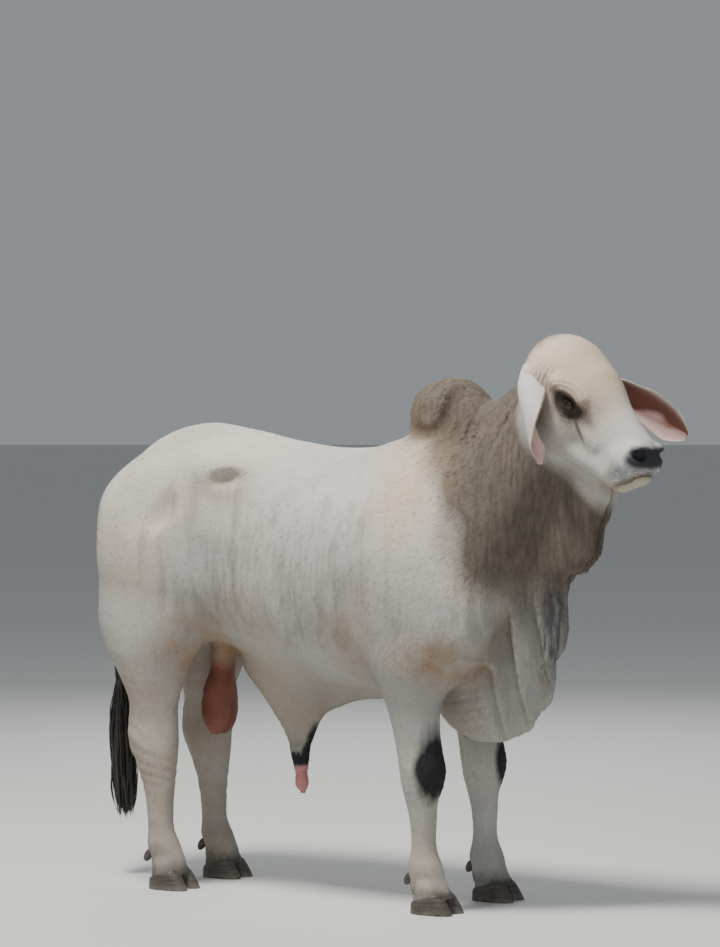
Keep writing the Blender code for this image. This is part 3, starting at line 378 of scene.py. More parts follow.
class Bull:
    """The bull's distance field, in its own frame, built part by part."""

    def skull(self, m: Array) -> Array:
        """The head without its openings, both halves at once, in its own frame."""
        d = ellipsoid(m, (0.095, 0, 0.006), (0.132, 0.143, 0.118))
        d = union(d, ellipsoid(m, (0.175, 0, 0.040), (0.155, 0.122, 0.086)), 0.04)
        d = union(d, limb(m, (0.22, 0, 0.046), (0.47, 0, 0.038), 0.074, 0.058), 0.05)
        d = union(d, limb(m, (0.19, 0, -0.045), (0.45, 0, -0.018), 0.094, 0.062), 0.05)
        q = to_muzzle(m)
        d = union(d, ellipsoid(q, (0.000, 0, 0.002), (0.068, 0.084, 0.058)), 0.03)
        d = union(d, ellipsoid(q, (0.018, 0.030, -0.014), (0.052, 0.050, 0.046)), 0.02)
        d = union(d, limb(m, (0.165, 0.068, -0.150), (0.45, 0.026, -0.074), 0.044, 0.034), 0.045)
        d = union(d, ellipsoid(m, (0.185, 0.080, -0.080), (0.105, 0.044, 0.098)), 0.035)
        d = union(d, limb(q, (0.040, 0, -0.050), (-0.030, 0, -0.088), 0.024, 0.032), 0.03)
        d = union(d, limb(m, (0.168, 0.124, 0.036), (0.262, 0.106, 0.044), 0.021, 0.017), 0.026)
        d = union(d, limb(m, (0.245, 0.092, -0.022), (0.370, 0.058, -0.030), 0.022, 0.018), 0.03)
        return union(d, limb(m, (0.078, 0.095, -0.024), (0.072, 0.134, -0.036), 0.047, 0.022), 0.040)

    def mouth_height(self, x: Array) -> Array:
        """Height of the line between the lips, in the muzzle's frame."""
        back = np.clip(MOUTH_FRONT - x, 0, 1)
        return -0.017 - 0.85 * back + 1.75 * back**2

    def face(self, m: Array, d: Array) -> Array:
        """Lids, nostrils and mouth cut into the field d, in the head's frame."""
        orbit = EYE + EYE_OUTWARD * 0.030 + np.array([0.010, 0, -0.006])
        d = carve(d, ellipsoid(m, orbit, (0.042, 0.024, 0.023)), 0.020)
        d = union(d, ellipsoid(m, EYE - EYE_OUTWARD * 0.002, (0.030, 0.026, 0.026)), 0.014)
        d = carve(d, ellipsoid(m, EYE + EYE_OUTWARD * 0.022, (0.022, 0.020, 0.011)), 0.005)
        d = carve(d, limb(m, (0.264, 0.112, -0.008), (0.340, 0.096, -0.046), 0.009, 0.004), 0.016)
        q = to_muzzle(m)
        d = union(d, ellipsoid(q, (0.036, 0.048, 0.032), (0.034, 0.028, 0.030)), 0.02)
        d = carve(d, ellipsoid(q, (0.060, 0.054, 0.030), (0.022, 0.020, 0.017)), 0.008)
        d = carve(d, limb(q, (0.050, 0.070, 0.026), (0.028, 0.082, 0.030), 0.009, 0.004), 0.008)
        off_line = (q[:, 2] - self.mouth_height(q[:, 0])) / 0.0075
        return d + 0.009 * np.exp(-off_line * off_line) * fade(q[:, 0], MOUTH_CORNER, MOUTH_CORNER + 0.03)

    def face_creases(self, m: Array) -> Array:
        """Shallow skin folds of the face: waves around the eye, over the brow and down the cheek."""
        q = m - EYE
        ring = np.hypot(q[:, 0] * 0.8, q[:, 2])
        above = fade(q[:, 2], 0.0, 0.02)
        brow = waves(ring, 0.013) * bell(ring - 0.048, 0.020) * above
        below = waves(ring, 0.011) * bell(ring - 0.040, 0.012) * (1 - above) * 0.7
        x, y, z = m.T
        cheek = waves(x + 0.55 * z, 0.030) * bell(z + 0.060, 0.035) * bell(x - 0.335, 0.06)
        temple = waves(x + 0.3 * z, 0.017) * bell(x - 0.120, 0.035) * bell(z - 0.010, 0.04)
        temple = temple * fade(y, 0.06, 0.09)
        return -(0.0020 * brow + 0.0011 * below + 0.0005 * cheek + 0.0020 * temple)

    def shoulder(self, m: Array) -> Array:
        """The shoulder blade, its muscle and the point of the shoulder."""
        d = limb(m, (0.580, 0.185, 0.930), (0.500, 0.085, 1.370), 0.200, 0.130, 0.50)
        d = union(d, ellipsoid(m, (0.560, 0.180, 0.960), (0.190, 0.088, 0.200)), 0.08)
        return union(d, ellipsoid(m, (0.665, 0.110, 0.930), (0.130, 0.110, 0.190)), 0.09)

    def rump(self, m: Array) -> Array:
        """Hook bone, pin bone and thigh."""
        d = ellipsoid(m, (-0.180, 0.155, 1.395), (0.120, 0.085, 0.066))
        d = union(d, ellipsoid(m, (-0.660, 0.105, 1.265), (0.065, 0.055, 0.070)), 0.06)
        return union(d, ellipsoid(m, (-0.460, 0.160, 1.080), (0.230, 0.115, 0.300)), 0.08)

    def hollows(self, m: Array, d: Array) -> Array:
        """The flank below the hook, the hollow before the pin and the crease behind the shoulder."""
        d = carve(d, ellipsoid(m, (-0.150, 0.345, 1.300), (0.120, 0.080, 0.085), pitch=0.25), 0.07)
        d = carve(d, ellipsoid(m, (-0.430, 0.335, 1.330), (0.090, 0.070, 0.130), pitch=0.5), 0.07)
        return carve(d, ellipsoid(m, (0.385, 0.375, 0.920), (0.045, 0.078, 0.200)), 0.05)

    def hump(self, p: Array) -> Array:
        """The hump over the withers and its run into the crest."""
        d = ellipsoid(p, (0.590, 0, 1.530), (0.135, 0.108, 0.168), pitch=0.05)
        d = union(d, ellipsoid(p, (0.525, 0, 1.590), (0.075, 0.088, 0.088)), 0.05)
        return union(d, limb(p, (0.62, 0, 1.580), (0.74, 0, 1.535), 0.090, 0.072, 0.85), 0.06)

    def crease_distance(self, m: Array) -> Array:
        """How far the points are from a thin line around the hump's foot."""
        lengths = zip(HUMP_CREASE, HUMP_CREASE[1:])
        return np.minimum.reduce([limb(m, a, b, 0.011, 0.011) for a, b in lengths])

    def crease(self, m: Array) -> Array:
        """The painted shade along the hump's crease, from 0 to 1."""
        return bell(self.crease_distance(m) + 0.004, 0.016)

    def dimpled(self, m: Array, d: Array) -> Array:
        """The crease around the hump's foot and the small hollows under hook and thurl, cut into d."""
        d = carve(d, self.crease_distance(m), 0.030)
        d = carve(d, ellipsoid(m, (-0.125, 0.258, 1.372), (0.066, 0.036, 0.027), pitch=-0.2), 0.022)
        return carve(d, ellipsoid(m, (-0.375, 0.272, 1.268), (0.040, 0.034, 0.064), pitch=0.4), 0.032)

    def neck_folds(self, p: Array) -> Array:
        """Skin that drapes from the crest down and back: a wave with wide crests and narrow valleys."""
        x, y, z = p.T
        down = 1.600 + 0.45 * (x - 0.70) - z
        lean = x + (0.30 + 0.20 * np.sin(9 * x)) * down + 0.010 * np.sin(11 * x + 8 * z)
        wave = 1.0 - 2.0 * np.exp(-0.8 * (1 + waves(lean, 0.046, 1.3 * np.sin(9 * down + 7 * x))))
        depth = 0.62 + 0.38 * np.sin(43 * lean + 1.0)
        shown = fade(down, -0.03, 0.06) * fade(down, 0.27, 0.08) * fade(x, 0.60, 0.70) * fade(x, 0.97, 0.90)
        return -0.0052 * depth * wave * shown * fade(np.abs(y), 0.02, 0.08)

    def girth_folds(self, p: Array) -> Array:
        """Upright folds behind the shoulder and fainter ones along the ribs."""
        x, y, z = p.T
        wave = waves(x + 0.05 * z, 0.060, 0.8 * np.sin(7 * z + 4 * x))
        shown = np.sqrt(fade(np.abs(x - 0.24 + 0.05 * z), 0.13, 0.0))
        folds = 0.0065 * wave * shown * fade(z, 0.76, 0.88) * fade(z, 1.26, 1.01)
        ribs = waves(x + 0.22 * z, 0.088) * fade(x, -0.05, 0.05) * fade(x, 0.36, 0.24)
        ribs = 0.0022 * ribs * fade(z, 0.95, 1.08) * fade(z, 1.36, 1.22) * fade(np.abs(y), 0.14, 0.22)
        return -(folds + ribs)

    def armpit_folds(self, p: Array) -> Array:
        """Wrinkles that fan out between the top of the foreleg and the brisket."""
        x, y, z = p.T
        q = np.hypot(x - 0.70, (z - 0.80) * 0.9)
        turn = np.arctan2(z - 0.80, x - 0.70)
        wave = np.sin(6.5 * turn + 18 * q)
        shown = bell(q - 0.085, 0.055) * fade(x, 0.60, 0.68) * fade(np.abs(y), 0.04, 0.10)
        return -0.0030 * wave * shown

    def leg_wrinkles(self, p: Array) -> Array:
        """Level wrinkles on the hind legs, and loose rings above knee and hock."""
        x, y, z = p.T
        wander = 0.012 * np.sin(23 * z + 9 * y) + 0.006 * np.sin(31 * x + 17 * z)
        hind = waves(z + 0.25 * (x + 0.45) + 0.02 * np.sin(40 * y) + wander, 0.041)
        uneven = fade(np.sin(19 * z + 11 * x + 6 * y) + 0.5 * np.sin(37 * x - 8 * y), -0.7, 0.9)
        hind = hind * uneven * fade(z, 0.24, 0.34) * fade(z, 0.74, 0.60) * fade(x, -0.25, -0.33)
        fore = waves(z - 0.15 * (x - 0.57), 0.024)
        fore = fore * bell(z - 0.43, 0.10) * fade(x, 0.46, 0.50) * fade(x, 0.70, 0.67) * fade(z, 0.62, 0.52)
        return -(0.0016 * hind + 0.0009 * fore)

    def pleated(self, p: Array) -> Array:
        """Points moved sideways in waves, so that the brisket hangs in upright pleats."""
        x, _, z = p.T
        wave = waves(x + 0.16 * z, 0.092, 0.9 * np.sin(6 * z))
        q = p.copy()
        q[:, 1] -= 0.020 * wave * fade(z, 1.18, 0.93) * fade(x, 0.72, 0.82)
        return q

    def dewlap(self, p: Array) -> Array:
        """The brisket's hanging skin and the two folds side by side under the throat."""
        q = self.pleated(p)
        chest = ellipsoid(q, (0.800, 0, 0.93), (0.205, 0.058, 0.27), pitch=0.10)
        chest = union(chest, ellipsoid(q, (0.725, 0, 0.745), (0.225, 0.080, 0.215), pitch=-0.15), 0.05)
        t = p.copy()
        t[:, 1] = np.abs(t[:, 1] + 0.010) - 0.024
        throat = ellipsoid(t, (1.000, 0, 1.275), (0.128, 0.036, 0.200), pitch=-0.25)
        throat = union(throat, ellipsoid(t, (1.090, 0, 1.350), (0.088, 0.034, 0.100)), 0.05)
        throat = union(throat, ellipsoid(p, (0.858, 0, 1.165), (0.122, 0.070, 0.230), pitch=-0.30), 0.08)
        return union(chest, throat, 0.05)

    def dewlap_folds(self, p: Array) -> Array:
        """Finer folds on the dewlap: upright on the chest, slanting on the throat, level at its foot."""
        x, _, z = p.T
        upright = waves(x + 0.10 * z, 0.041, 1.4 * np.sin(9 * z))
        chest = upright * fade(x, 0.70, 0.80) * fade(z, 1.12, 0.98) * fade(z, 0.55, 0.62)
        slant = waves(x + 0.45 * z, 0.062, 1.9 * np.sin(11 * z + 3 * x))
        throat = slant * fade(x, 0.86, 0.95) * fade(z, 1.06, 1.14) * fade(z, 1.44, 1.30)
        level = waves(z - 0.22 * (x - 0.7), 0.030, 0.8 * np.sin(20 * x))
        foot = level * bell(x - 0.70, 0.10) * fade(z, 0.74, 0.66)
        return -(0.0026 * chest + 0.0018 * throat + 0.0020 * foot)

    def sheath(self, p: Array) -> Array:
        """The hanging sheath with its bare tip."""
        d = limb(p, (0.00, 0, 0.775), (0.00, 0, 0.46), 0.175, 0.034, 0.36)
        d = union(d, limb(p, (-0.16, 0, 0.76), (-0.05, 0, 0.66), 0.060, 0.050, 0.55), 0.05)
        d = union(d, limb(p, (0.00, 0, 0.47), (0.005, 0, 0.415), 0.030, 0.024), 0.02)
        d = union(d, limb(p, (0.16, 0, 0.715), (0.38, 0, 0.715), 0.080, 0.05, 0.55), 0.06)
        d = union(d, limb(p, (0.003, 0, 0.430), (0.008, 0, 0.360), 0.020, 0.024), 0.008)
        d = union(d, limb(p, (0.008, 0, 0.360), (0.012, 0, 0.335), 0.020, 0.012), 0.01)
        rings = waves(p[:, 2], 0.013) * fade(p[:, 2], 0.43, 0.41)
        return d - 0.0010 * rings * fade(np.abs(d), 0.03, 0.0)

    def scrotum(self, p: Array) -> Array:
        """The bag between the thighs."""
        d = limb(p, (-0.30, 0, 0.84), (-0.315, 0, 0.68), 0.052, 0.040)
        return union(d, ellipsoid(mirrored(p), (-0.322, 0.022, 0.600), (0.054, 0.044, 0.096)), 0.05)

    def tail(self, p: Array) -> Array:
        """The tail down to the tip of its bone."""
        lengths = zip(TAIL, TAIL[1:])
        return np.minimum.reduce([limb(p, a, b, ra, rb) for (a, ra), (b, rb) in lengths])

    def claws(self, p: Array, foot: Foot) -> Array:
        """Both claws of a foot, which reach a little below the ground."""
        return loft(mirrored(p - foot.sole), 2, upright_columns(CLAW), LOWER_POWER)

    def leg(self, p: Array, foot: Foot) -> Array:
        """A leg with its claws."""
        d = loft(p, 2, upright_columns(foot.table, foot.side, foot.forward), LOWER_POWER)
        return union(d, self.claws(p, foot), 0.012)

    def body(self, p: Array) -> Array:
        """The whole bull, at the outside of its coat."""
        m = mirrored(p)
        d = loft(p, 0, trunk_columns(), LOWER_POWER)
        d = union(d, self.shoulder(m), 0.08)
        d = union(d, self.rump(m), 0.09)
        d = self.hollows(m, d)
        d = union(d, self.hump(p), 0.045)
        d = carve(d, ellipsoid(m, (0.545, 0.150, 1.585), (0.045, 0.045, 0.050)), 0.04)
        d = union(d, self.dewlap(p), 0.06)
        d = self.dimpled(m, d)
        d = d + self.neck_folds(p) + self.girth_folds(p) + self.armpit_folds(p) + self.dewlap_folds(p)
        d = union(d, self.sheath(p), 0.05)
        d = union(d, self.scrotum(p), 0.03)
        for foot in LEGS.values():
            d = union(d, self.leg(p, foot), 0.065)
        d = d + self.leg_wrinkles(p)
        d = union(d, self.tail(p), 0.025)
        h = mirrored(to_head(p))
        d = union(d, self.skull(h), 0.05)
        return np.where(h[:, 0] > 0.02, self.face(h, d) + self.face_creases(h), d)

    def under_coat(self, p: Array) -> Array:
        """The skin's own field: inside the coat, and further in under the horn of the hooves."""
        low = fade(p[:, 2], 0.075, 0.045)
        return np.maximum(self.body(p) + COAT_DEPTH + HORN_DEPTH * low, SKIN_FOOT - p[:, 2])


# a closed surface from a field


def slope_of(shape: Field, points: Array, step: float = 0.001) -> Array:
    """How fast a field grows along each axis at the points, measured over a step each way."""
    moves = step * np.eye(3)
    return np.stack([shape(points + move) - shape(points - move) for move in moves], 1) / (2 * step)


def settled(shape: Field, points: Array, most: float) -> Array:
    """The points moved along the field's slope onto its surface: one Newton step, at most most long.

    Args:
        shape: the distance field.
        points: where they are.
        most: the furthest that a point may move.

    Returns:
        The moved points.
    """
    slope = slope_of(shape, points)
    move = shape(points)[:, None] * slope / np.maximum((slope * slope).sum(1), 1e-3)[:, None]
    length = np.linalg.norm(move, axis=1, keepdims=True)
    return points - move * np.minimum(1, most / np.maximum(length, 1e-9))


def seen_from(grid: Array, corner: tuple) -> Array:
    """The grid's values at one corner of each of its cells."""
    return grid[tuple(slice(c, n - 1 + c) for c, n in zip(corner, grid.shape))]


def corners_inside(inside: Array) -> Array:
    """How many of each cell's eight corners are inside."""
    return sum(seen_from(inside, corner).astype(np.int8) for corner in np.ndindex(2, 2, 2))


def halved(quads: Array) -> Array:
    """Each quad as two triangles: the first ones of all, then the second ones."""
    return np.concatenate([quads[:, [0, 1, 2]], quads[:, [0, 2, 3]]])


@dataclass
class Net:
    """A closed triangle mesh drawn from a distance field."""

    shape: Field
    low: tuple
    high: tuple
    cell: float

    def sampled(self, block: int = 6) -> Array:
        """The field on a grid, worked out point by point only near the surface."""
        low, high = np.array(self.low, float), np.array(self.high, float)
        size = self.cell * block
        blocks = np.ceil((high - low) / size).astype(int)
        count = blocks * block + 1
        middles = [low[a] + size * (np.arange(blocks[a]) + 0.5) for a in range(3)]
        coarse = self.shape(np.stack(np.meshgrid(*middles, indexing="ij"), -1).reshape(-1, 3)).reshape(blocks)
        near = np.abs(coarse) < size * 1.3
        nodes = [np.arange(n) for n in count]
        wanted = np.zeros(count, bool)
        for back in np.ndindex(2, 2, 2):
            pick = [np.clip((nodes[a] - back[a]) // block, 0, blocks[a] - 1) for a in range(3)]
            wanted |= near[np.ix_(*pick)]
        values = coarse[np.ix_(*[np.clip(nodes[a] // block, 0, blocks[a] - 1) for a in range(3)])]
        ijk = np.argwhere(wanted)
        parts = np.array_split(ijk, max(1, len(ijk) // 300000))
        values[tuple(ijk.T)] = np.concatenate([self.shape(low + self.cell * part) for part in parts])
        for axis in range(3):
            for end in (0, -1):
                wall = [slice(None)] * 3
                wall[axis] = end
                values[tuple(wall)] = np.maximum(values[tuple(wall)], self.cell * 0.5)
        return self.without_pinches(values)

    def without_pinches(self, values: Array) -> Array:
        """Grid points filled in where two bits would touch only along a line or at a point."""
        while True:
            inside = values < 0
            total = corners_inside(inside)
            fill = np.zeros(values.shape, bool)
            for axis in range(3):
                one, two = np.roll(np.eye(3, dtype=int), axis, 0)[:2]
                square = ((0, 0, 0), tuple(one), tuple(two), tuple(one + two))
                base, right, above, across = (seen_from(inside, corner) for corner in square)
                seen_from(fill, tuple(one))[base & across & ~right & ~above] = True
                seen_from(fill, (0, 0, 0))[right & above & ~base & ~across] = True
            for corner in list(np.ndindex(2, 2, 2))[:4]:
                a, b = seen_from(inside, corner), seen_from(inside, tuple(1 - c for c in corner))
                seen_from(fill, (1 - corner[0], corner[1], corner[2]))[a & b & (total == 2)] = True
                seen_from(fill, corner)[~a & ~b & (total == 6)] = True
            if not fill.any():
                return values
            values[fill] = -0.02 * self.cell

    def quads(self, inside: Array, index: Array) -> Array:
        """One quad around each grid edge that the surface crosses, facing outwards.

        Args:
            inside: whether each grid point is inside.
            index: the number of each cell's vertex.

        Returns:
            Four vertex numbers for each quad.
        """
        quads = []
        for axis in range(3):
            one, two = (axis + 1) % 3, (axis + 2) % 3
            start = [slice(1, n - 1) for n in inside.shape]
            start[axis] = slice(0, inside.shape[axis] - 1)
            end = list(start)
            end[axis] = slice(1, inside.shape[axis])
            a, b = inside[tuple(start)], inside[tuple(end)]
            for change, turned in ((a & ~b, False), (~a & b, True)):
                at = np.argwhere(change)
                at[:, [one, two]] += 1
                ring = []
                for u, v in ((-1, -1), (0, -1), (0, 0), (-1, 0)):
                    corner = at.copy()
                    corner[:, one] += u
                    corner[:, two] += v
                    ring.append(index[tuple(corner.T)])
                ring = np.stack(ring, 1)
                quads.append(ring[:, ::-1] if turned else ring)
        return np.concatenate(quads)

    def build(self) -> tuple:
        """One vertex in each grid cell that the surface crosses, two triangles for each crossed edge.

        Returns:
            The points and the triangles.
        """
        values = self.sampled()
        inside = values < 0
        total = corners_inside(inside)
        crossed = (total > 0) & (total < 8)
        cells = np.argwhere(crossed)
        index = np.full(crossed.shape, -1)
        index[crossed] = np.arange(len(cells))
        # the mean of the places where the surface cuts each cell's edges
        place = np.zeros((len(cells), 3))
        cuts = np.zeros(len(cells))
        for axis in range(3):
            others = [a for a in range(3) if a != axis]
            for corner in np.ndindex(2, 2):
                start = cells.copy()
                start[:, others] += corner
                end = start.copy()
                end[:, axis] += 1
                a, b = values[tuple(start.T)], values[tuple(end.T)]
                cut = (a < 0) != (b < 0)
                at = (start - cells).astype(float)
                at[:, axis] = np.where(cut, a / np.where(cut, a - b, 1), 0)
                place += at * cut[:, None]
                cuts += cut
        points = (cells + place / cuts[:, None]) * self.cell + np.array(self.low)
        return points, halved(self.quads(inside, index))


def split_long_edges(points: Array, faces: Array, wanted: Field) -> tuple:
    """Put a point in the middle of each edge that is too long, and divide the faces to match.

    A face with one split edge becomes two, with two becomes three, and with three becomes four.

    Args:
        points: the mesh's points.
        faces: its triangles.
        wanted: a function from points to the edge length wanted there.

    Returns:
        The new points and triangles.
    """
    sides = np.sort(np.concatenate([faces[:, [0, 1]], faces[:, [1, 2]], faces[:, [2, 0]]]), 1)
    key = sides[:, 0] * len(points) + sides[:, 1]
    _, first, back = np.unique(key, return_index=True, return_inverse=True)
    edges = sides[first]
    middle = points[edges].mean(1)
    length = np.linalg.norm(points[edges[:, 0]] - points[edges[:, 1]], axis=1)
    split = length > 1.35 * wanted(middle)
    number = np.full(len(edges), -1)
    number[split] = len(points) + np.arange(split.sum())
    new = number[back.reshape(-1)].reshape(3, -1).T
    count = (new >= 0).sum(1)
    out = [faces[count == 0]]
    for turn in range(3):
        f, n = np.roll(faces, -turn, 1), np.roll(new, -turn, 1)
        one = (count == 1) & (n[:, 0] >= 0)
        a, b, c = f[one].T
        m = n[one, 0]
        out += [np.stack([a, m, c], 1), np.stack([m, b, c], 1)]
        two = (count == 2) & (n[:, 2] < 0)
        a, b, c = f[two].T
        m, k = n[two, 0], n[two, 1]
        out += [np.stack([m, b, k], 1), np.stack([a, m, k], 1), np.stack([a, k, c], 1)]
    a, b, c = faces[count == 3].T
    m, k, j = new[count == 3].T
    out += [np.stack(t, 1) for t in ((a, m, j), (m, b, k), (j, k, c), (m, k, j))]
    return np.concatenate([points, middle[split]]), np.concatenate(out)


def evened(points: Array, faces: Array, share: float = 0.5) -> Array:
    """The points moved towards the middle of their neighbours, along the surface only."""
    total = np.zeros_like(points)
    count = np.zeros(len(points))
    for a, b in ((0, 1), (1, 2), (2, 0)):
        for i, j in ((a, b), (b, a)):
            for axis in range(3):
                total[:, axis] += np.bincount(faces[:, i], points[faces[:, j], axis], len(points))
            count += np.bincount(faces[:, i], minlength=len(points))
    move = total / np.maximum(count, 1)[:, None] - points
    out = normals_of(points, faces)
    return points + share * (move - (move * out).sum(1, keepdims=True) * out)


def normals_of(points: Array, faces: Array) -> Array:
    """The outward normal at each point, each face counted by its area."""
    a, b, c = points[faces].transpose(1, 0, 2)
    flat = np.cross(b - a, c - a)
    out = np.zeros_like(points)
    for corner in range(3):
        for axis in range(3):
            out[:, axis] += np.bincount(faces[:, corner], flat[:, axis], len(points))
    return unit(out)


# masks: where the hide has which colour


@dataclass
class Markings:
    """The hide's masks, worked out from the place alone, so that skin and coat agree."""

    bull: Bull

    def at(self, p: Array) -> dict:
        """Masks from 0 to 1 at each point of the bull's frame.

        Args:
            p: the points.

        Returns:
            One array for each mask's name.
        """
        m = mirrored(to_head(p))
        head = fade(m[:, 0], -0.02, 0.06) * fade(m[:, 2], -0.225, -0.150) * fade(p[:, 0], 0.86, 0.95)
        masks = {"head": head, "black": self.black(p), "crease": self.bull.crease(mirrored(p))}
        masks |= self.hair_colours(p, m, head) | self.bare_and_stained(p) | self.face(m, head)
        return masks | {"hollow": self.hollow(p)}

    def hair_colours(self, p: Array, m: Array, head: Array) -> dict:
        """The taupe of neck, hump and jaw, painted shade on the chest and under the jaw, the cream of face
        and shoulder, and the dark streaks.

        Args:
            p: the points.
            m: the same points in the head's frame, mirrored.
            head: the mask of the head.

        Returns:
            The masks grey, cream, ribs, flank and blue.
        """
        x, y, z = p.T
        hx, _, hz = m.T
        # the taupe begins along a slanting line from the hump's foot to the breast
        wander = 0.018 * np.sin(21 * z + 5 * x) + 0.012 * np.sin(47 * x - 9 * z)
        grey = fade(x - 0.545 - 0.46 * (1.50 - z) + wander, -0.055, 0.075)
        grey = grey * (0.25 + 0.75 * fade(z, 0.78, 1.16))
        hump = fade(np.hypot(x - 0.60, (z - 1.64) * 0.9), 0.26, 0.13) * fade(z, 1.45, 1.52)
        # painted shade over the front of the chest, the dewlap and the throat, kept in the grey mask
        under = fade(x, 0.70, 0.86) * fade(z, 0.55, 0.95) * (1 - head)
        # the jaw's taupe hair, darkened further as painted shade under the head
        jaw_taupe_and_shade = head * fade(hz + 0.012 * np.sin(30 * hx), 0.00, -0.10) * fade(hx, 0.38, 0.20)
        grey = np.maximum.reduce([np.maximum(grey, hump) * (1 - head), 0.42 * under, 0.70 * jaw_taupe_and_shade])
        face = head * fade(hz, -0.10, 0.02) * fade(hx, 0.40, 0.25)
        shoulder = 0.95 * bell(np.hypot(x - 0.53, (z - 1.34) / 1.6), 0.10) * (1 - head)
        ribs = fade(z, 1.42, 1.25) * fade(z, 0.72, 0.90) * fade(x, -0.55, -0.35) * fade(x, 0.66, 0.52)
        flank = fade(z, 1.30, 1.12) * fade(z, 0.85, 1.0) * fade(x, -0.30, -0.15) * fade(x, 0.50, 0.35)
        blue = bell(x - 0.975, 0.055) * fade(z, 0.72, 0.82) * fade(z, 1.10, 1.00) * fade(y, 0.06, -0.02)
        return {"grey": grey, "cream": np.maximum(face, shoulder), "ribs": ribs, "flank": flank, "blue": blue}

    def black(self, p: Array) -> Array:
        """The black hair of the knees, the breast, the sheath's tip, the tail and the pasterns."""
        x, y, z = p.T
        across = np.abs(y)
        outer = across - 0.178
        shift = 0.16 * np.clip(z - 0.46, 0, 0.4)
        left = fade(x + 0.5 * outer - shift, 0.620, 0.675)
        right = fade(x + 0.35 * outer - shift, 0.570, 0.640)
        knee = bell(z - 0.480, 0.150) * np.where(y > 0, left, right) * (z < 0.85) * (z > 0.22)
        knee = knee * fade(across, 0.10, 0.125)
        breast = bell(x - 0.985 + 0.05 * np.sin(14 * z), 0.030) * bell(z - 0.930, 0.120)
        breast = 0.35 * (breast * fade(y, 0.045, -0.02))
        curl = bell(x - 0.052 - 0.34 * (z - 0.52), 0.020) * fade(z, 0.42, 0.47) * fade(z, 0.61, 0.52)
        sheath_tip = bell(z - 0.442, 0.026) * bell(x, 0.11) * fade(across, 0.05, 0.03)
        tail_tip = fade(z, 0.86, 0.70) * fade(x, -0.660, -0.700)
        pastern = 0.5 * fade(z, 0.15, 0.07)
        return np.maximum.reduce([knee, breast, sheath_tip, 0.80 * curl, tail_tip, pastern])

    def bare_and_stained(self, p: Array) -> dict:
        """The pink tip of the sheath, the red bag, and the rusty hair of armpit, girth, groin and belly."""
        x, y, z = p.T
        across = np.abs(y)
        pink = fade(z, 0.43, 0.41) * bell(x - 0.01, 0.08) * bell(y, 0.06)
        bag = fade(z, 0.80, 0.72) * bell(x + 0.315, 0.095) * fade(across, 0.10, 0.075) * fade(z, 0.47, 0.49)
        armpit = bell(np.hypot((x - 0.68) / 1.4, z - 0.80), 0.080) * fade(across, 0.03, 0.10)
        girth = bell(np.hypot(x - 0.36, (z - 0.86) / 1.8), 0.080) * fade(across, 0.10, 0.18)
        groin = bell(np.hypot((x + 0.27) / 1.1, (z - 0.78) / 1.2), 0.110)
        thigh = 0.8 * fade(z, 0.82, 0.70) * fade(across, 0.15, 0.09) * fade(x, -0.14, -0.24)
        belly = 0.35 * fade(z, 0.80, 0.66) * fade(x, 0.5, 0.3)
        stain = np.maximum.reduce([armpit, 0.6 * girth, groin, thigh, belly])
        return {"pink": pink, "bag": bag, "stain": stain}

    def face(self, m: Array, head: Array) -> dict:
        """The dark nose, the mottled lip, the pale chin, the bare lids and the painted shade around the eye.

        Args:
            m: the points in the head's frame, mirrored.
            head: the mask of the head.

        Returns:
            The masks muzzle, lip, chin, lid and the eye's painted shade.
        """
        q = to_muzzle(m)
        x, y, z = q.T
        over_lip = z - self.bull.mouth_height(x)
        ragged = 0.006 * np.sin(55 * y + 40 * x) + 0.004 * np.sin(120 * z)
        nose = fade(x + ragged, -0.010, 0.056) * fade(over_lip, -0.004, 0.004)
        nose = nose * fade(z + ragged, 0.074, 0.034) * fade(over_lip + 0.5 * x + ragged, 0.020, 0.066)
        nostril = bell(np.linalg.norm((q - NOSTRIL) / (1.2, 1.0, 0.9), axis=1), 0.030)
        lip = fade(over_lip + ragged, 0.066, 0.034) * fade(over_lip, -0.004, 0.003)
        lip = lip * fade(x + ragged, -0.070, -0.015)
        chin = fade(over_lip, 0.0, -0.008) * fade(over_lip, -0.055, -0.015) * fade(x, -0.085, -0.040)
        x, y, z = m.T
        lid = bell(np.linalg.norm((m - EYE - EYE_OUTWARD * 0.020) / (1.35, 1, 0.95), axis=1), 0.021)
        # painted shade around the eye, where the brow's shadow falls, and in the tear furrow below its inner
        # corner
        reach = np.linalg.norm((m - EYE - np.array([0.004, 0.01, 0.000])) / (1.55, 1.2, 1.0), axis=1)
        furrow_shade = bell(z + 0.006 + 0.52 * (x - 0.262), 0.010) * fade(x, 0.250, 0.265) * fade(x, 0.375, 0.325)
        brow_shadow = np.maximum(bell(reach - 0.016, 0.034), 0.70 * furrow_shade * fade(y, 0.05, 0.08))
        masks = {"muzzle": np.maximum(nose, nostril), "lip": lip, "chin": chin, "lid": lid, "eye_dark": brow_shadow}
        return {name: mask * head for name, mask in masks.items()}

    def hollow(self, p: Array) -> Array:
        """How far each point sits in a fold, for the painted shade in the folds: what the field lacks of a
        step taken straight out.
        """
        out = unit(slope_of(self.bull.body, p))
        value = self.bull.body(p)
        near, far = (1 - (self.bull.body(p + out * step) - value) / step for step in (0.012, 0.045))
        return np.clip(0.8 * near + 0.8 * far - 0.12, 0, 1)


SKIN_MASKS = (
    ("marks_a", ("grey", "black", "pink", "stain")),
    ("marks_b", ("muzzle", "lip", "lid", "eye_dark")),
    ("marks_c", ("cream", "flank", "hollow", "bag")),
    ("marks_d", ("chin", "crease", "ribs", "blue")),
)


# Blender objects


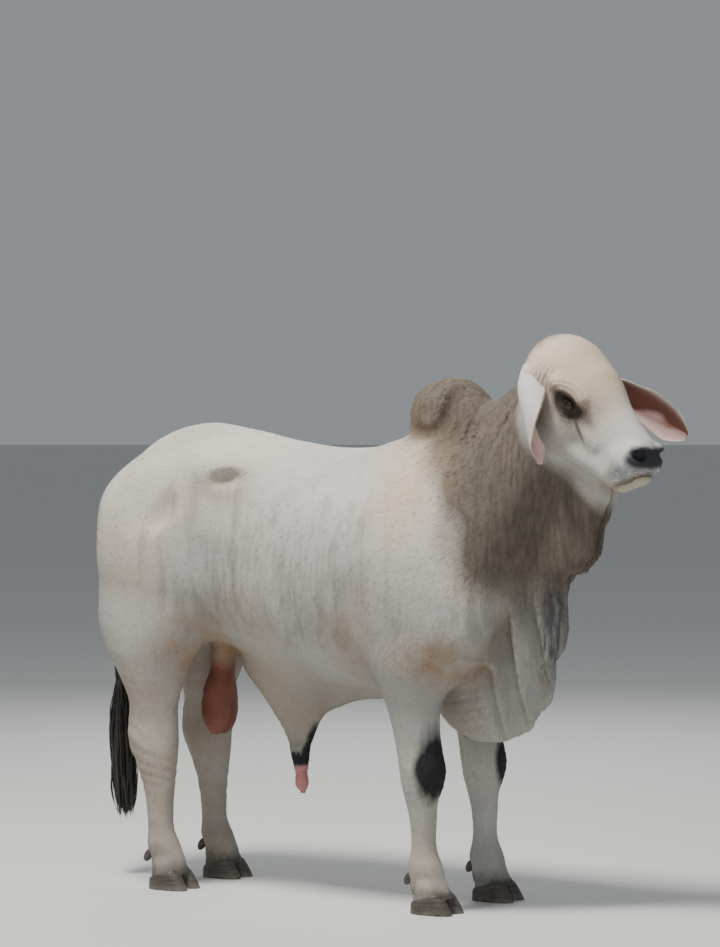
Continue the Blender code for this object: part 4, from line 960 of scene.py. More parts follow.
def mesh_object(name: str, points: Array, faces: Array) -> bpy.types.Object:
    """A new smooth object from arrays, moved from the bull's frame into the solids' frame.

    Args:
        name: the object's name.
        points: its points in the bull's frame.
        faces: its triangles or quads.

    Returns:
        The object, linked to the scene.
    """
    mesh = bpy.data.meshes.new(name)
    faces = np.asarray(faces)
    starts = np.arange(0, faces.size, faces.shape[1], dtype=np.int32)
    mesh.vertices.add(len(points))
    mesh.vertices.foreach_set("co", (np.asarray(points) - MIDDLE).astype(np.float32).ravel())
    mesh.loops.add(faces.size)
    mesh.loops.foreach_set("vertex_index", faces.astype(np.int32).ravel())
    mesh.polygons.add(len(faces))
    mesh.polygons.foreach_set("loop_start", starts)
    mesh.update(calc_edges=True)
    mesh.validate()
    mesh.shade_smooth()
    obj = bpy.data.objects.new(name, mesh)
    bpy.context.scene.collection.objects.link(obj)
    return obj


def paint_masks(obj: bpy.types.Object, masks: dict) -> None:
    """Store the masks on the mesh's points, four to each attribute."""
    count = len(obj.data.vertices)
    for attribute, names in SKIN_MASKS:
        values = np.stack([masks.get(n, np.zeros(count)) for n in names], 1)
        layer = obj.data.attributes.new(attribute, "FLOAT_COLOR", "POINT")
        layer.data.foreach_set("color", np.clip(values, 0, 1).astype(np.float32).ravel())


def paint_number(obj: bpy.types.Object, name: str, values: Array) -> None:
    """Store one number on each point of the mesh."""
    layer = obj.data.attributes.new(name, "FLOAT", "POINT")
    layer.data.foreach_set("value", np.asarray(values, np.float32).ravel())


# shader maths


class Wire:
    """A number socket of a node tree that takes Python's operators."""

    def __init__(self, shader: "Shader", socket: bpy.types.NodeSocket) -> None:
        """Keep the tree and the socket."""
        self.shader = shader
        self.socket = socket

    def maths(self, operation: str, *others: object) -> "Wire":
        """One Math node whose first value is this one."""
        inputs = {0: self, **dict(enumerate(others, 1))}
        return self.shader.node("ShaderNodeMath", {"operation": operation}, inputs)

    def __add__(self, other: object) -> "Wire":
        """Sum."""
        return self.maths("ADD", other)

    __radd__ = __add__

    def __mul__(self, other: object) -> "Wire":
        """Product."""
        return self.maths("MULTIPLY", other)

    __rmul__ = __mul__

    def __sub__(self, other: object) -> "Wire":
        """Difference."""
        return self.maths("SUBTRACT", other)

    def __rsub__(self, other: object) -> "Wire":
        """A number less this one."""
        return self.shader.node("ShaderNodeMath", {"operation": "SUBTRACT"}, {0: other, 1: self})

    def __pow__(self, other: object) -> "Wire":
        """Power."""
        return self.maths("POWER", other)

    def between(self, start: float, end: float) -> "Wire":
        """0 at start, 1 at end and a straight slope between."""
        inputs = {"Value": self, "From Min": start, "From Max": end}
        return self.shader.node("ShaderNodeMapRange", {"clamp": True}, inputs)


class Shader:
    """A material's node tree, written as expressions."""

    def __init__(self, name: str) -> None:
        """Start a material with its Principled node."""
        self.material = bpy.data.materials.new(name)
        self.material.use_nodes = True
        self.tree = self.material.node_tree
        self.principled = self.tree.nodes["Principled BSDF"]

    def node(
        self, kind: str, settings: dict | None = None, inputs: dict | None = None, output: object = 0
    ) -> Wire:
        """Add a node.

        Args:
            kind: the node's type.
            settings: what to set on the node before its sockets are filled.
            inputs: a value or a wire for each socket, by name or number.
            output: the name or number of the socket that is returned.

        Returns:
            The output as a wire.
        """
        node = self.tree.nodes.new(kind)
        for key, value in (settings or {}).items():
            setattr(node, key, value)
        for key, value in (inputs or {}).items():
            self.fill(node.inputs[key], value)
        return Wire(self, node.outputs[output])

    def fill(self, socket: bpy.types.NodeSocket, value: object) -> None:
        """Link a wire to a socket, or set its value."""
        if isinstance(value, Wire):
            self.tree.links.new(value.socket, socket)
        elif isinstance(value, (int, float)):
            socket.default_value = value
        elif len(value) == 3 and socket.type != "VECTOR":
            socket.default_value = (*value, 1.0)
        else:
            socket.default_value = tuple(value)

    def place(self) -> Wire:
        """The Object coordinates."""
        return self.node("ShaderNodeTexCoord", output="Object")

    def stretched(self, scale: tuple, turn: tuple = (0, 0, 0)) -> Wire:
        """Object coordinates scaled by axis after a turn, for patterns that run along the hair."""
        return self.node("ShaderNodeMapping", {}, {"Vector": self.place(), "Rotation": turn, "Scale": scale})

    def noise(self, scale: float, detail: float = 3.0, where: Wire | None = None, rough: float = 0.5) -> Wire:
        """Noise from 0 to 1, gathered around a half."""
        inputs = {"Vector": where or self.place(), "Scale": scale, "Detail": detail, "Roughness": rough}
        return self.node("ShaderNodeTexNoise", {}, inputs, "Fac")

    def cells(self, scale: float, feature: str = "F1", where: Wire | None = None) -> Wire:
        """Distance in a pattern of cells."""
        inputs = {"Vector": where or self.place(), "Scale": scale}
        return self.node("ShaderNodeTexVoronoi", {"feature": feature}, inputs, "Distance")

    def mask(self, attribute: str, channel: int) -> Wire:
        """One of the four masks kept in an attribute."""
        source = self.tree.nodes.new("ShaderNodeAttribute")
        source.attribute_name = attribute
        if channel == 3:
            return Wire(self, source.outputs["Alpha"])
        colour = Wire(self, source.outputs["Color"])
        return self.node("ShaderNodeSeparateColor", {}, {"Color": colour}, channel)

    def masks(self) -> dict:
        """A wire for each mask that paint_masks keeps on a mesh."""
        kept = ((key, i, name) for key, names in SKIN_MASKS for i, name in enumerate(names))
        return {name: self.mask(key, i) for key, i, name in kept}

    def number(self, attribute: str) -> Wire:
        """A number kept on the mesh's points."""
        return self.node("ShaderNodeAttribute", {"attribute_name": attribute}, {}, "Fac")

    def mix(self, share: object, first: object, second: object, blend: str = "MIX") -> Wire:
        """Two colours mixed by a share."""
        settings = {"data_type": "RGBA", "blend_type": blend, "clamp_factor": True}
        return self.node("ShaderNodeMix", settings, {0: share, 6: first, 7: second}, 2)

    def bump(self, height: Wire, distance: float, strength: float = 1.0, before: Wire | None = None) -> Wire:
        """A Bump node over an earlier normal."""
        inputs = {"Height": height, "Distance": distance, "Strength": strength}
        if before:
            inputs["Normal"] = before
        return self.node("ShaderNodeBump", {}, inputs, "Normal")

    def finish(self, **sockets: object) -> bpy.types.Material:
        """Fill the Principled node's sockets, underscores standing for spaces."""
        for key, value in sockets.items():
            self.fill(self.principled.inputs[key.replace("_", " ")], value)
        return self.material


@dataclass(frozen=True)
class HideFinish:
    """The short coat and the bare skin of the whole bull."""

    white: tuple = (0.60, 0.575, 0.53)
    shade: tuple = (0.36, 0.345, 0.32)
    # the colour of the painted shade low on the body
    painted_low_shade: tuple = (0.235, 0.235, 0.215)
    warm: tuple = (0.50, 0.41, 0.31)
    ribs: tuple = (0.22, 0.19, 0.155)
    flank: tuple = (0.20, 0.175, 0.15)
    grey: tuple = (0.148, 0.119, 0.092)
    dark_grey: tuple = (0.068, 0.055, 0.043)
    cream: tuple = (0.60, 0.455, 0.315)
    # the colour of the painted shade in the hump's crease
    crease: tuple = (0.070, 0.052, 0.040)
    blue: tuple = (0.040, 0.046, 0.060)
    stain: tuple = (0.27, 0.15, 0.07)
    black: tuple = (0.014, 0.014, 0.015)
    pink: tuple = (0.48, 0.20, 0.18)
    bag: tuple = (0.15, 0.045, 0.030)
    bag_worn: tuple = (0.21, 0.075, 0.05)
    # the colours of the painted shade around the eye
    eye_shade_rim: tuple = (0.085, 0.063, 0.047)
    eye_shade_core: tuple = (0.014, 0.011, 0.010)
    muzzle: tuple = (0.030, 0.031, 0.036)
    muzzle_edge: tuple = (0.20, 0.19, 0.205)
    lip: tuple = (0.36, 0.385, 0.385)
    speck: tuple = (0.06, 0.06, 0.068)
    spot: tuple = (0.66, 0.60, 0.55)
    chin: tuple = (0.40, 0.36, 0.22)
    lid: tuple = (0.035, 0.026, 0.022)
    fleck: tuple = (0.10, 0.08, 0.07)
    # the colour of the painted shade in the folds
    fold_shade: tuple = (0.50, 0.40, 0.30)
    # the colour of the painted shade at the tufts' roots
    root_shade: tuple = (0.5, 0.45, 0.4)
    hair_turn: tuple = (0, 0.9, 0)

    def coat(self, s: Shader, k: dict, patch: Wire, streak: Wire) -> Wire:
        """The clouded white of the body, darker low down as painted shade, then the other colours of hair and
        the bare red skin, with painted shade in the hump's crease and around the eye.

        Args:
            s: the material's tree.
            k: the masks.
            patch: noise in patches.
            streak: noise in upright streaks.

        Returns:
            The colour.
        """
        cloud = s.noise(3.2, 4.0)
        # painted shade: the hide darkens towards the bottom, from 1.30 m down to 0.75 m high
        low = s.node("ShaderNodeSeparateXYZ", {}, {0: s.place()}, 2).between(1.30, 0.75)
        base = s.mix(cloud.between(0.32, 0.68) * 0.75, self.white, self.shade)
        base = s.mix(low * (0.42 + cloud * 0.45), base, self.painted_low_shade)
        base = s.mix(s.noise(2.1, 2.0).between(0.45, 0.68) * 0.45, base, self.warm)
        drip = s.noise(1.0, 3.0, s.stretched((24, 24, 3.2), (0, 0.10, 0)))
        base = s.mix(k["ribs"] * drip.between(0.48, 0.70) * 0.50, base, self.ribs)
        base = s.mix(k["flank"] * streak.between(0.46, 0.72) * 0.55, base, self.flank)
        darker = streak.between(0.35, 0.70) * 0.6 + patch.between(0.4, 0.8) * 0.3
        edge = patch * 0.5 + streak * 0.3
        # the grey mask holds the taupe hair and also painted shade on the chest and under the jaw
        taupe = (k["grey"] * 1.30 - edge * 0.6 + 0.05).between(0.0, 0.95)
        base = s.mix(taupe, base, s.mix(darker, self.grey, self.dark_grey))
        base = s.mix(k["cream"] * (0.45 + patch * 0.7), base, self.cream)
        # painted shade in the crease around the hump's foot
        base = s.mix(k["crease"] * 0.75, base, self.crease)
        base = s.mix(k["blue"] * streak.between(0.35, 0.60) * 0.85, base, self.blue)
        base = s.mix(k["stain"] * patch.between(0.20, 0.6) * 0.85, base, self.stain)
        base = s.mix(k["pink"], base, self.pink)
        bag = s.mix(patch.between(0.3, 0.7), self.bag, self.bag_worn)
        base = s.mix(k["bag"].between(0.25, 0.85), base, bag)
        black = (k["black"] * 1.5 - patch * 0.55 - streak * 0.35).between(0.02, 0.55)
        base = s.mix(black, base, self.black)
        # painted shade around the eye, darkest at its middle
        brow_shadow = (k["eye_dark"] * 1.15 - patch * 0.22).between(0.04, 0.80)
        return s.mix(brow_shadow * 0.93, base, s.mix(brow_shadow.between(0.4, 0.9), self.eye_shade_rim, self.eye_shade_core))

    def build(self, name: str = "hide", tufts: bool = False) -> bpy.types.Material:
        """Make the material.

        Args:
            name: the material's name.
            tufts: whether it is for the coat's tufts, which need no bump of their own.

        Returns:
            The material.
        """
        s = Shader(name)
        k = s.masks()
        patch = s.noise(11.0, 3.0)
        streak = s.noise(1.0, 3.0, s.stretched((70, 70, 9), (0, 0.12, 0)))
        hair = s.noise(1.0, 2.0, s.stretched((95, 240, 95), self.hair_turn))
        wet = (k["muzzle"] * 1.35 - patch * 0.40).between(0.08, 0.80)
        base = self.coat(s, k, patch, streak)
        # bare skin: dark on the nose and the lids, bluish and speckled on the upper lip
        specks = s.cells(120.0).between(0.42, 0.24) * s.noise(34.0, 2.0).between(0.42, 0.58)
        mottled = s.mix(specks * 0.75, self.lip, self.speck)
        mottled = s.mix(s.noise(60.0, 2.0).between(0.55, 0.65) * 0.8, mottled, self.spot)
        base = s.mix((k["lip"] * 1.3 - patch * 0.55).between(0.0, 0.9), base, mottled)
        base = s.mix(k["chin"] * 0.65, base, self.chin)
        nose = s.mix(wet.between(0.40, 1.0), self.muzzle_edge, self.muzzle)
        base = s.mix(wet.between(0.0, 0.6), base, nose)
        base = s.mix(k["lid"].between(0.30, 0.75), base, self.lid)
        # painted shade darkens the folds, by the mask hollow, and single hairs vary
        base = s.mix(k["hollow"] * (1 - wet) * 0.55, base, s.mix(1.0, base, self.fold_shade, "MULTIPLY"))
        fleck = s.cells(26.0).between(0.075, 0.03) * s.noise(6.0).between(0.5, 0.7)
        base = s.mix(fleck * 0.15, base, self.fleck)
        tone = s.node("ShaderNodeCombineColor", {}, {i: 0.86 + hair * 0.26 for i in range(3)})
        base = s.mix((1 - wet) * 0.9, base, s.mix(1.0, base, tone, "MULTIPLY"))
        bare = (wet + k["lid"] + k["pink"] + k["bag"] * 0.6).between(0.0, 1.0)
        rough = 0.78 - bare * 0.36
        if tufts:
            # painted shade at each tuft's root, fading out towards its tip
            base = s.mix(s.number("root") * 0.25, base, s.mix(1.0, base, self.root_shade, "MULTIPLY"))
            return s.finish(Base_Color=base, Roughness=rough, Specular_IOR_Level=0.25)
        strands = s.noise(1.0, 1.0, s.stretched((420, 900, 420), self.hair_turn))
        pores = s.cells(240.0, "DISTANCE_TO_EDGE").between(0.0, 0.12)
        normal = s.bump(s.noise(42.0, 3.0), 0.0022, 0.55)
        normal = s.bump(hair * (1 - bare), 0.0016, 0.55, normal)
        normal = s.bump(strands * (1 - bare), 0.0006, 0.6, normal)
        normal = s.bump(pores * bare, 0.0006, 0.7, normal)
        return s.finish(Base_Color=base, Roughness=rough, Normal=normal, Specular_IOR_Level=0.3)


@dataclass(frozen=True)
class EarFinish:
    """The ear: pale short hair outside, pink skin inside, red-brown deep in the cup, darkened there as
    painted shade of the cup's hollow.
    """

    outer: tuple = (0.60, 0.56, 0.54)
    outer_shade: tuple = (0.42, 0.38, 0.37)
    inner: tuple = (0.72, 0.49, 0.44)
    inner_pale: tuple = (0.70, 0.52, 0.45)
    vein: tuple = (0.50, 0.13, 0.11)
    deep: tuple = (0.16, 0.055, 0.035)
    rim: tuple = (0.74, 0.64, 0.56)

    def build(self) -> bpy.types.Material:
        """Make the material from the ear's own attributes."""
        s = Shader("ear_skin")
        inside, deep, rim = s.number("inside"), s.number("deep"), s.number("rim")
        patch = s.noise(28.0, 3.0)
        vein = s.number("vein") * s.noise(18.0).between(0.3, 0.6)
        outer = s.mix(patch.between(0.35, 0.75) * 0.5, self.outer, self.outer_shade)
        inner = s.mix(patch.between(0.4, 0.8) * 0.5, self.inner, self.inner_pale)
        inner = s.mix(vein * 0.7, inner, self.vein)
        # painted shade deep in the cup, over red-brown skin
        inner = s.mix((deep * 1.25 - patch * 0.3).between(0.1, 0.7), inner, self.deep)
        base = s.mix(rim * 0.8, s.mix(inside, outer, inner), self.rim)
        hair = s.noise(1.0, 2.0, s.stretched((300, 300, 80)))
        normal = s.bump(s.noise(70.0, 3.0), 0.0012, 0.6)
        normal = s.bump(hair * (1 - inside * 0.6), 0.0008, 0.5, normal)
        rough = 0.72 - inside * 0.18
        return s.finish(Base_Color=base, Roughness=rough, Normal=normal, Specular_IOR_Level=0.3)


@dataclass(frozen=True)
class HairFinish:
    """Long coarse hair in one colour with lighter single hairs."""

    name: str
    colour: tuple
    light: tuple
    roughness: float = 0.5

    def build(self) -> bpy.types.Material:
        """Make the material."""
        s = Shader(self.name)
        strand = s.noise(1.0, 2.0, s.stretched((420, 420, 30)))
        base = s.mix(strand.between(0.45, 0.75), self.colour, self.light)
        normal = s.bump(strand, 0.0008, 0.6)
        return s.finish(Base_Color=base, Roughness=self.roughness, Normal=normal)


FRINGE_HAIR = HairFinish("fringe_hair", (0.66, 0.60, 0.53), (0.80, 0.76, 0.70), 0.7)
LASH_HAIR = HairFinish("lash_hair", (0.02, 0.016, 0.013), (0.06, 0.05, 0.04))
SWITCH_HAIR = HairFinish("switch_hair", (0.010, 0.009, 0.009), (0.045, 0.036, 0.030), 0.45)


@dataclass(frozen=True)
class HornFinish:
    """Hoof horn: dark, ringed across, worn paler at its foot."""

    dark: tuple = (0.035, 0.030, 0.027)
    pale: tuple = (0.17, 0.14, 0.11)
    worn: tuple = (0.26, 0.22, 0.17)

    def build(self) -> bpy.types.Material:
        """Make the material."""
        s = Shader("hoof_horn_ringed")
        rings = s.noise(1.0, 3.0, s.stretched((14, 14, 210)))
        stripes = s.noise(1.0, 2.0, s.stretched((260, 260, 16)))
        worn = s.node("ShaderNodeSeparateXYZ", {}, {0: s.place()}, 2).between(0.022, 0.0)
        share = rings.between(0.35, 0.7) * 0.45 + stripes.between(0.5, 0.8) * 0.25
        base = s.mix(share, self.dark, self.pale)
        base = s.mix(worn * s.noise(40.0).between(0.3, 0.7) * 0.8, base, self.worn)
        normal = s.bump(rings, 0.0012, 0.6)
        normal = s.bump(stripes, 0.0004, 0.5, normal)
        return s.finish(Base_Color=base, Roughness=0.42 + rings * 0.2, Normal=normal)


@dataclass(frozen=True)
class EyeFinish:
    """A wet dark eye with a level pupil, a brown iris and a reddish white at its corners, the white and its
    red painted nearly black as the shade under the brow.
    """

    iris: tuple = (0.020, 0.009, 0.005)
    fibre: tuple = (0.050, 0.024, 0.012)
    # painted shade: white and red are near black, the shade that the brow casts on the eye
    white: tuple = (0.070, 0.050, 0.043)
    red: tuple = (0.045, 0.022, 0.018)
    pupil: tuple = (0.004, 0.004, 0.006)

    def build(self) -> bpy.types.Material:
        """Make the material."""
        s = Shader("eye_wet_dark")
        brown = s.mix(s.noise(160.0, 2.0), self.iris, self.fibre)
        white = s.mix(s.noise(90.0).between(0.4, 0.7), self.white, self.red)
        base = s.mix(s.number("iris"), white, brown)
        base = s.mix(s.number("pupil"), base, self.pupil)
        return s.finish(Base_Color=base, Roughness=0.14, Coat_Weight=0.35, Specular_IOR_Level=0.3)


class Grow(Enum):
    """Where short tufts grow, with the mean length, width and lift of a tuft."""

    TRUNK = (0.0165, 0.0022, 0.10)
    FRONT = (0.0165, 0.0022, 0.12)
    HEAD = (0.0090, 0.0013, 0.13)
    LEGS = (0.0140, 0.0018, 0.11)


def ring_quads(rows: int, wide: int) -> Array:
    """Quads between neighbouring rows of a grid whose rows are closed rings.

    Args:
        rows: how many rows there are.
        wide: how many points a row has.

    Returns:
        Four vertex numbers for each quad.
    """
    i, k = np.meshgrid(np.arange(rows - 1), np.arange(wide), indexing="ij")
    a, b = i * wide + k, i * wide + (k + 1) % wide
    return np.stack([a, b, b + wide, a + wide], -1).reshape(-1, 4)


def ball_grid(rows: int, wide: int) -> tuple:
    """The lift from a ball's pole and the turn around it, on a grid of closed rings."""
    lift, turn = np.linspace(0, math.pi, rows), np.linspace(0, 2 * math.pi, wide, endpoint=False)
    return tuple(np.meshgrid(lift, turn, indexing="ij"))


def repeated(faces: Array, per: int, count: int) -> Array:
    """The faces of one tuft for count tufts of per points each."""
    return (faces[None] + (np.arange(count) * per)[:, None, None]).reshape(-1, 3)


def side_name(side: int) -> str:
    """The word for a side in the names of pieces and nodes."""
    return "right" if side < 0 else "left"


def unwrapped(p: Array, out: Array) -> Array:
    """A place on an unwrap of the skin: six charts, one for each way that the skin faces.

    Args:
        p: points on the skin, in the bull's frame.
        out: the skin's normals there.

    Returns:
        Two numbers from 0 to 1 for each point.
    """
    axis = np.abs(out).argmax(1)
    positive = np.take_along_axis(out, axis[:, None], 1)[:, 0] > 0
    chart = axis * 2 + positive
    span = np.array([2.3, 0.8, 2.0])
    q = (p - np.array([-0.85, -0.4, -0.03])) / span
    first = np.where(axis == 0, q[:, 1], q[:, 0])
    second = np.where(axis == 2, q[:, 1], q[:, 2])
    u = (chart % 3 + 0.02 + 0.96 * np.clip(first, 0, 1)) / 3
    v = (chart // 3 + 0.02 + 0.96 * np.clip(second, 0, 1)) / 2
    return np.stack([u, v], 1)


def give_bake_map(obj: bpy.types.Object, roots: Array, out: Array, per: int) -> None:
    """Give a mesh of tufts its OFBake map: a patch 0.003 across for each, at its root's place.

    Args:
        obj: the mesh's object.
        roots: where the tufts start.
        out: the way out of the skin there.
        per: how many points one tuft has.
    """
    ring = np.linspace(0, 2 * math.pi, per, endpoint=False)
    patch = 0.0015 * np.stack([np.cos(ring), np.sin(ring)], 1)
    spots = (unwrapped(roots, out)[:, None] + patch[None]).reshape(-1, 2)
    layer = obj.data.uv_layers.new(name="OFBake")
    corner = np.zeros(len(obj.data.loops), np.int32)
    obj.data.loops.foreach_get("vertex_index", corner)
    layer.uv.foreach_set("vector", spots[corner].astype(np.float32).ravel())


@dataclass
class Tufts:
    """Many thin tapered tufts, each a three-sided blade that bends towards the skin."""

    roots: Array
    out: Array
    lie: Array
    length: Array
    width: Array
    lift: Array
    droop: float = 0.6
    stations: int = 3
    skin_shaded: bool = True

    @property
    def per(self) -> int:
        """How many points one tuft has."""
        return 3 * self.stations + 1

    def blade(self) -> Array:
        """The triangles of one tuft: three sides, a point and a closed root."""
        sides = ring_quads(self.stations, 3)[:, [[0, 1, 2], [0, 2, 3]]].reshape(-1, 3)
        last = 3 * (self.stations - 1)
        tip = [(last + k, last + (k + 1) % 3, self.per - 1) for k in range(3)]
        return np.concatenate([sides, tip, [(2, 1, 0)]])

    def build(self, name: str) -> bpy.types.Object:
        """Make one mesh of all tufts.

        A tuft's middle line is root + length * (t * lie * cos(lift) + (t - droop t²) * out * sin(lift)),
        and its three corners lie at width * (1 - t)^0.7 around that line.

        Args:
            name: the piece's name.

        Returns:
            The object, with its root's shade and its OFBake map.
        """
        n = len(self.roots)
        side = unit(np.cross(self.out, self.lie))
        t = np.arange(self.stations) / self.stations
        cos, sin = np.cos(self.lift)[:, None], np.sin(self.lift)[:, None]
        lines = []
        for at in (*t, 1.0):
            run = at * self.lie * cos + (at - self.droop * at * at) * self.out * sin
            lines.append(self.roots + self.length[:, None] * run)
        rows = []
        for at, line in zip(t, lines):
            wide = (self.width * (1 - at) ** 0.7)[:, None]
            rows += [line + side * wide, line + self.out * wide * 0.35, line - side * wide]
        points = np.stack([*rows, lines[-1]], 1)
        faces = self.blade()
        a, b, c = points[:, faces[0]].transpose(1, 0, 2)
        if (np.cross(b - a, c - a) * (a - points.mean(1))).sum(1).mean() < 0:
            faces = faces[:, ::-1]
        obj = mesh_object(name, points.reshape(-1, 3), repeated(faces, self.per, n))
        if self.skin_shaded:
            obj.data.normals_split_custom_set_from_vertices(np.repeat(self.out, self.per, 0).tolist())
        level = np.concatenate([np.repeat(t, 3), [1.0]])
        paint_number(obj, "root", np.tile(1 - level, n))
        give_bake_map(obj, self.roots, self.out, self.per)
        return obj


def sampled_on(points: Array, faces: Array, weight: Array, count: int, draw: np.random.Generator) -> tuple:
    """Random places on a mesh, spread by area and weight.

    Args:
        points: the mesh's points.
        faces: its triangles.
        weight: how dense they are at each point.
        count: how many places.
        draw: the seeded source of chance.

    Returns:
        The places, the normals there and the faces that they lie on.
    """
    a, b, c = points[faces].transpose(1, 0, 2)
    flat = np.cross(b - a, c - a)
    area = np.linalg.norm(flat, axis=1)
    share = area * weight[faces].mean(1)
    pick = draw.choice(len(faces), count, p=share / share.sum())
    u, v = draw.random((2, count))
    over = u + v > 1
    u, v = np.where(over, 1 - u, u)[:, None], np.where(over, 1 - v, v)[:, None]
    place = a[pick] * (1 - u - v) + b[pick] * u + c[pick] * v
    return place, flat[pick] / area[pick][:, None], pick


@dataclass
class Hide:
    """The skin of the whole bull and the short coat on it."""

    bull: Bull
    low: tuple = (-0.86, -0.42, -0.03)
    high: tuple = (1.44, 0.42, 1.92)
    cell: float = 0.016
    seed: int = 11
    tufts: int = 12000
    quick_tufts: int = 2500

    def wanted(self, p: Array) -> Array:
        """Edge length wanted at each point: fine on the face, middling on folds, coarse elsewhere."""
        x, y, z = p.T
        h = mirrored(to_head(p))
        size = np.full(len(p), 0.0165)
        folds = (x > 0.12) & (z > 0.5) & ((x < 0.40) & (z < 1.3) | (x > 0.52))
        size = np.where(folds, 0.0120, size)
        size = np.where((z < 0.80) & (x < 0.8), 0.0126, size)
        size = np.where((x > 0.58) & (x < 0.96) & (z > 1.25) & (np.abs(y) > 0.02), 0.0088, size)
        size = np.where((np.abs(x) < 0.12) & (np.abs(y) < 0.08) & (z < 0.5), 0.0055, size)
        head = (h[:, 0] > -0.02) & (h[:, 2] > -0.20) & (x > 0.90)
        size = np.where(head, 0.0063, size)
        size = np.where(np.linalg.norm(h - EYE, axis=1) < 0.042, 0.0023, size)
        size = np.where(head & (h[:, 0] > 0.43) & (h[:, 2] > -0.09), 0.0032, size)
        return size

    def surface(self) -> tuple:
        """The skin's points and triangles in the bull's frame."""
        shape = self.bull.under_coat
        points, faces = Net(shape, self.low, self.high, self.cell).build()
        points = settled(shape, settled(shape, points, 0.006), 0.004)
        for _ in range(4):
            points, faces = split_long_edges(points, faces, self.wanted)
            points = settled(shape, evened(points, faces), 0.004)
        for _ in range(2):
            points = settled(shape, evened(points, faces, 0.4), 0.002)
        return points, faces

    def lie_of(self, p: Array, out: Array) -> Array:
        """The way the hair lies: back and down on the body, down the legs, down the face.

        Args:
            p: places on the skin.
            out: the normals there.

        Returns:
            Unit vectors along the skin.
        """
        x, _, z = p.T
        back = np.stack([-np.ones(len(p)), np.zeros(len(p)), -0.45 - 0.6 * fade(z, 1.3, 0.9)], 1)
        down = np.array([-0.15, 0, -1.0])
        low = fade(z, 0.85, 0.70)[:, None]
        lie = back * (1 - low) + down * low
        front = (fade(x, 0.72, 0.86) * fade(z, 0.6, 0.9))[:, None]
        lie = lie * (1 - front) + np.array([-0.25, 0, -1.0]) * front
        h = to_head(p)
        face = (fade(h[:, 0], 0.0, 0.05) * fade(x, 0.93, 0.98) * fade(h[:, 2], -0.20, -0.14))[:, None]
        around = np.stack([np.full(len(p), 0.9), np.sign(h[:, 1]) * 0.25, np.full(len(p), -0.55)], 1)
        lie = lie * (1 - face) + around @ head_axes().T * face
        return along_skin(lie, out)

    def region(self, grow: Grow, p: Array, masks: dict) -> Array:
        """How dense a region's tufts are at each point."""
        x, _, z = p.T
        covered = (1 - masks["muzzle"]) * (1 - masks["lid"]) * (1 - masks["bag"]) * (1 - masks["pink"])
        covered = covered * fade(z, 0.08, 0.10)
        head = masks["head"]
        legs = fade(z, 0.82, 0.74) * (1 - (x > 0.72) * (z > 0.55)) * ((np.abs(x + 0.1) > 0.10) | (z > 0.72))
        ahead = fade(x, 0.44, 0.50)
        part = {
            Grow.TRUNK: (1 - head) * (1 - legs) * (1 - ahead),
            Grow.FRONT: ahead * (1 - head) * (1 - legs),
            Grow.HEAD: head,
            Grow.LEGS: legs * (1 - head),
        }[grow]
        return np.clip(part * covered, 0, 1)

    def dress(self, points: Array, faces: Array, masks: dict, finish: bpy.types.Material) -> list:
        """Grow the short tufts.

        Args:
            points: the skin's points.
            faces: its triangles.
            masks: the skin's masks.
            finish: the tufts' material.

        Returns:
            The coat's pieces.
        """
        draw = np.random.default_rng(self.seed)
        count = self.tufts
        pieces = []
        for grow in Grow:
            length, width, lift = grow.value
            place, out, pick = sampled_on(points, faces, self.region(grow, points, masks), count, draw)
            lie = along_skin(self.lie_of(place, out) + draw.normal(0, 0.16, (count, 3)), out)
            tufts = Tufts(
                place - out * 0.0006, out, lie, length * draw.uniform(0.7, 1.3, count),
                width * draw.uniform(0.7, 1.3, count), lift * draw.uniform(0.6, 1.6, count),
            )
            piece = tufts.build(f"coat_{grow.name.lower()}")
            own = {key: np.repeat(value[faces[pick]].mean(1), tufts.per) for key, value in masks.items()}
            paint_masks(piece, own)
            piece.data.materials.append(finish)
            pieces.append(piece)
        return pieces


@dataclass(frozen=True)
class EarShape:
    """How an ear is carried and rolled.

    facing is the way that its inside looks. turn is how far the ear is turned about its own line
    from there, and roll half the angle of its rolled section: each has shares of the ear's
    length, then the degrees there. The other five give its half width, as half_width says.
    """

    facing: tuple
    turn: tuple
    roll: tuple
    base: float
    taper: float
    more: float
    late: float
    blunt: int

    def half_width(self, t: Array) -> Array:
        """base - taper t + more sin(pi t^late)^0.8, blunted at the tip, and never under 6 mm."""
        leaf = self.base - self.taper * t + self.more * np.sin(math.pi * t**self.late) ** 0.8
        return np.maximum(EAR_HALF_WIDTH * leaf * (1 - t**self.blunt) ** 0.55, 0.006)


HANGING_EAR = EarShape(
    (0.55, -0.83, 0.0), ((0, 0.2, 0.5, 0.8, 1), (-140, -130, -96, -48, -25)),
    ((0, 0.25, 0.7, 1), (140, 95, 62, 40)), base=0.80, taper=0.24, more=0.42, late=0.95, blunt=4,
)
HELD_OUT_EAR = EarShape(
    (0.60, -0.75, 0.25), ((0, 1), (-25, 5)),
    ((0, 0.25, 0.7, 1), (165, 120, 62, 40)), base=0.55, taper=0.0, more=0.62, late=1.05, blunt=9,
)


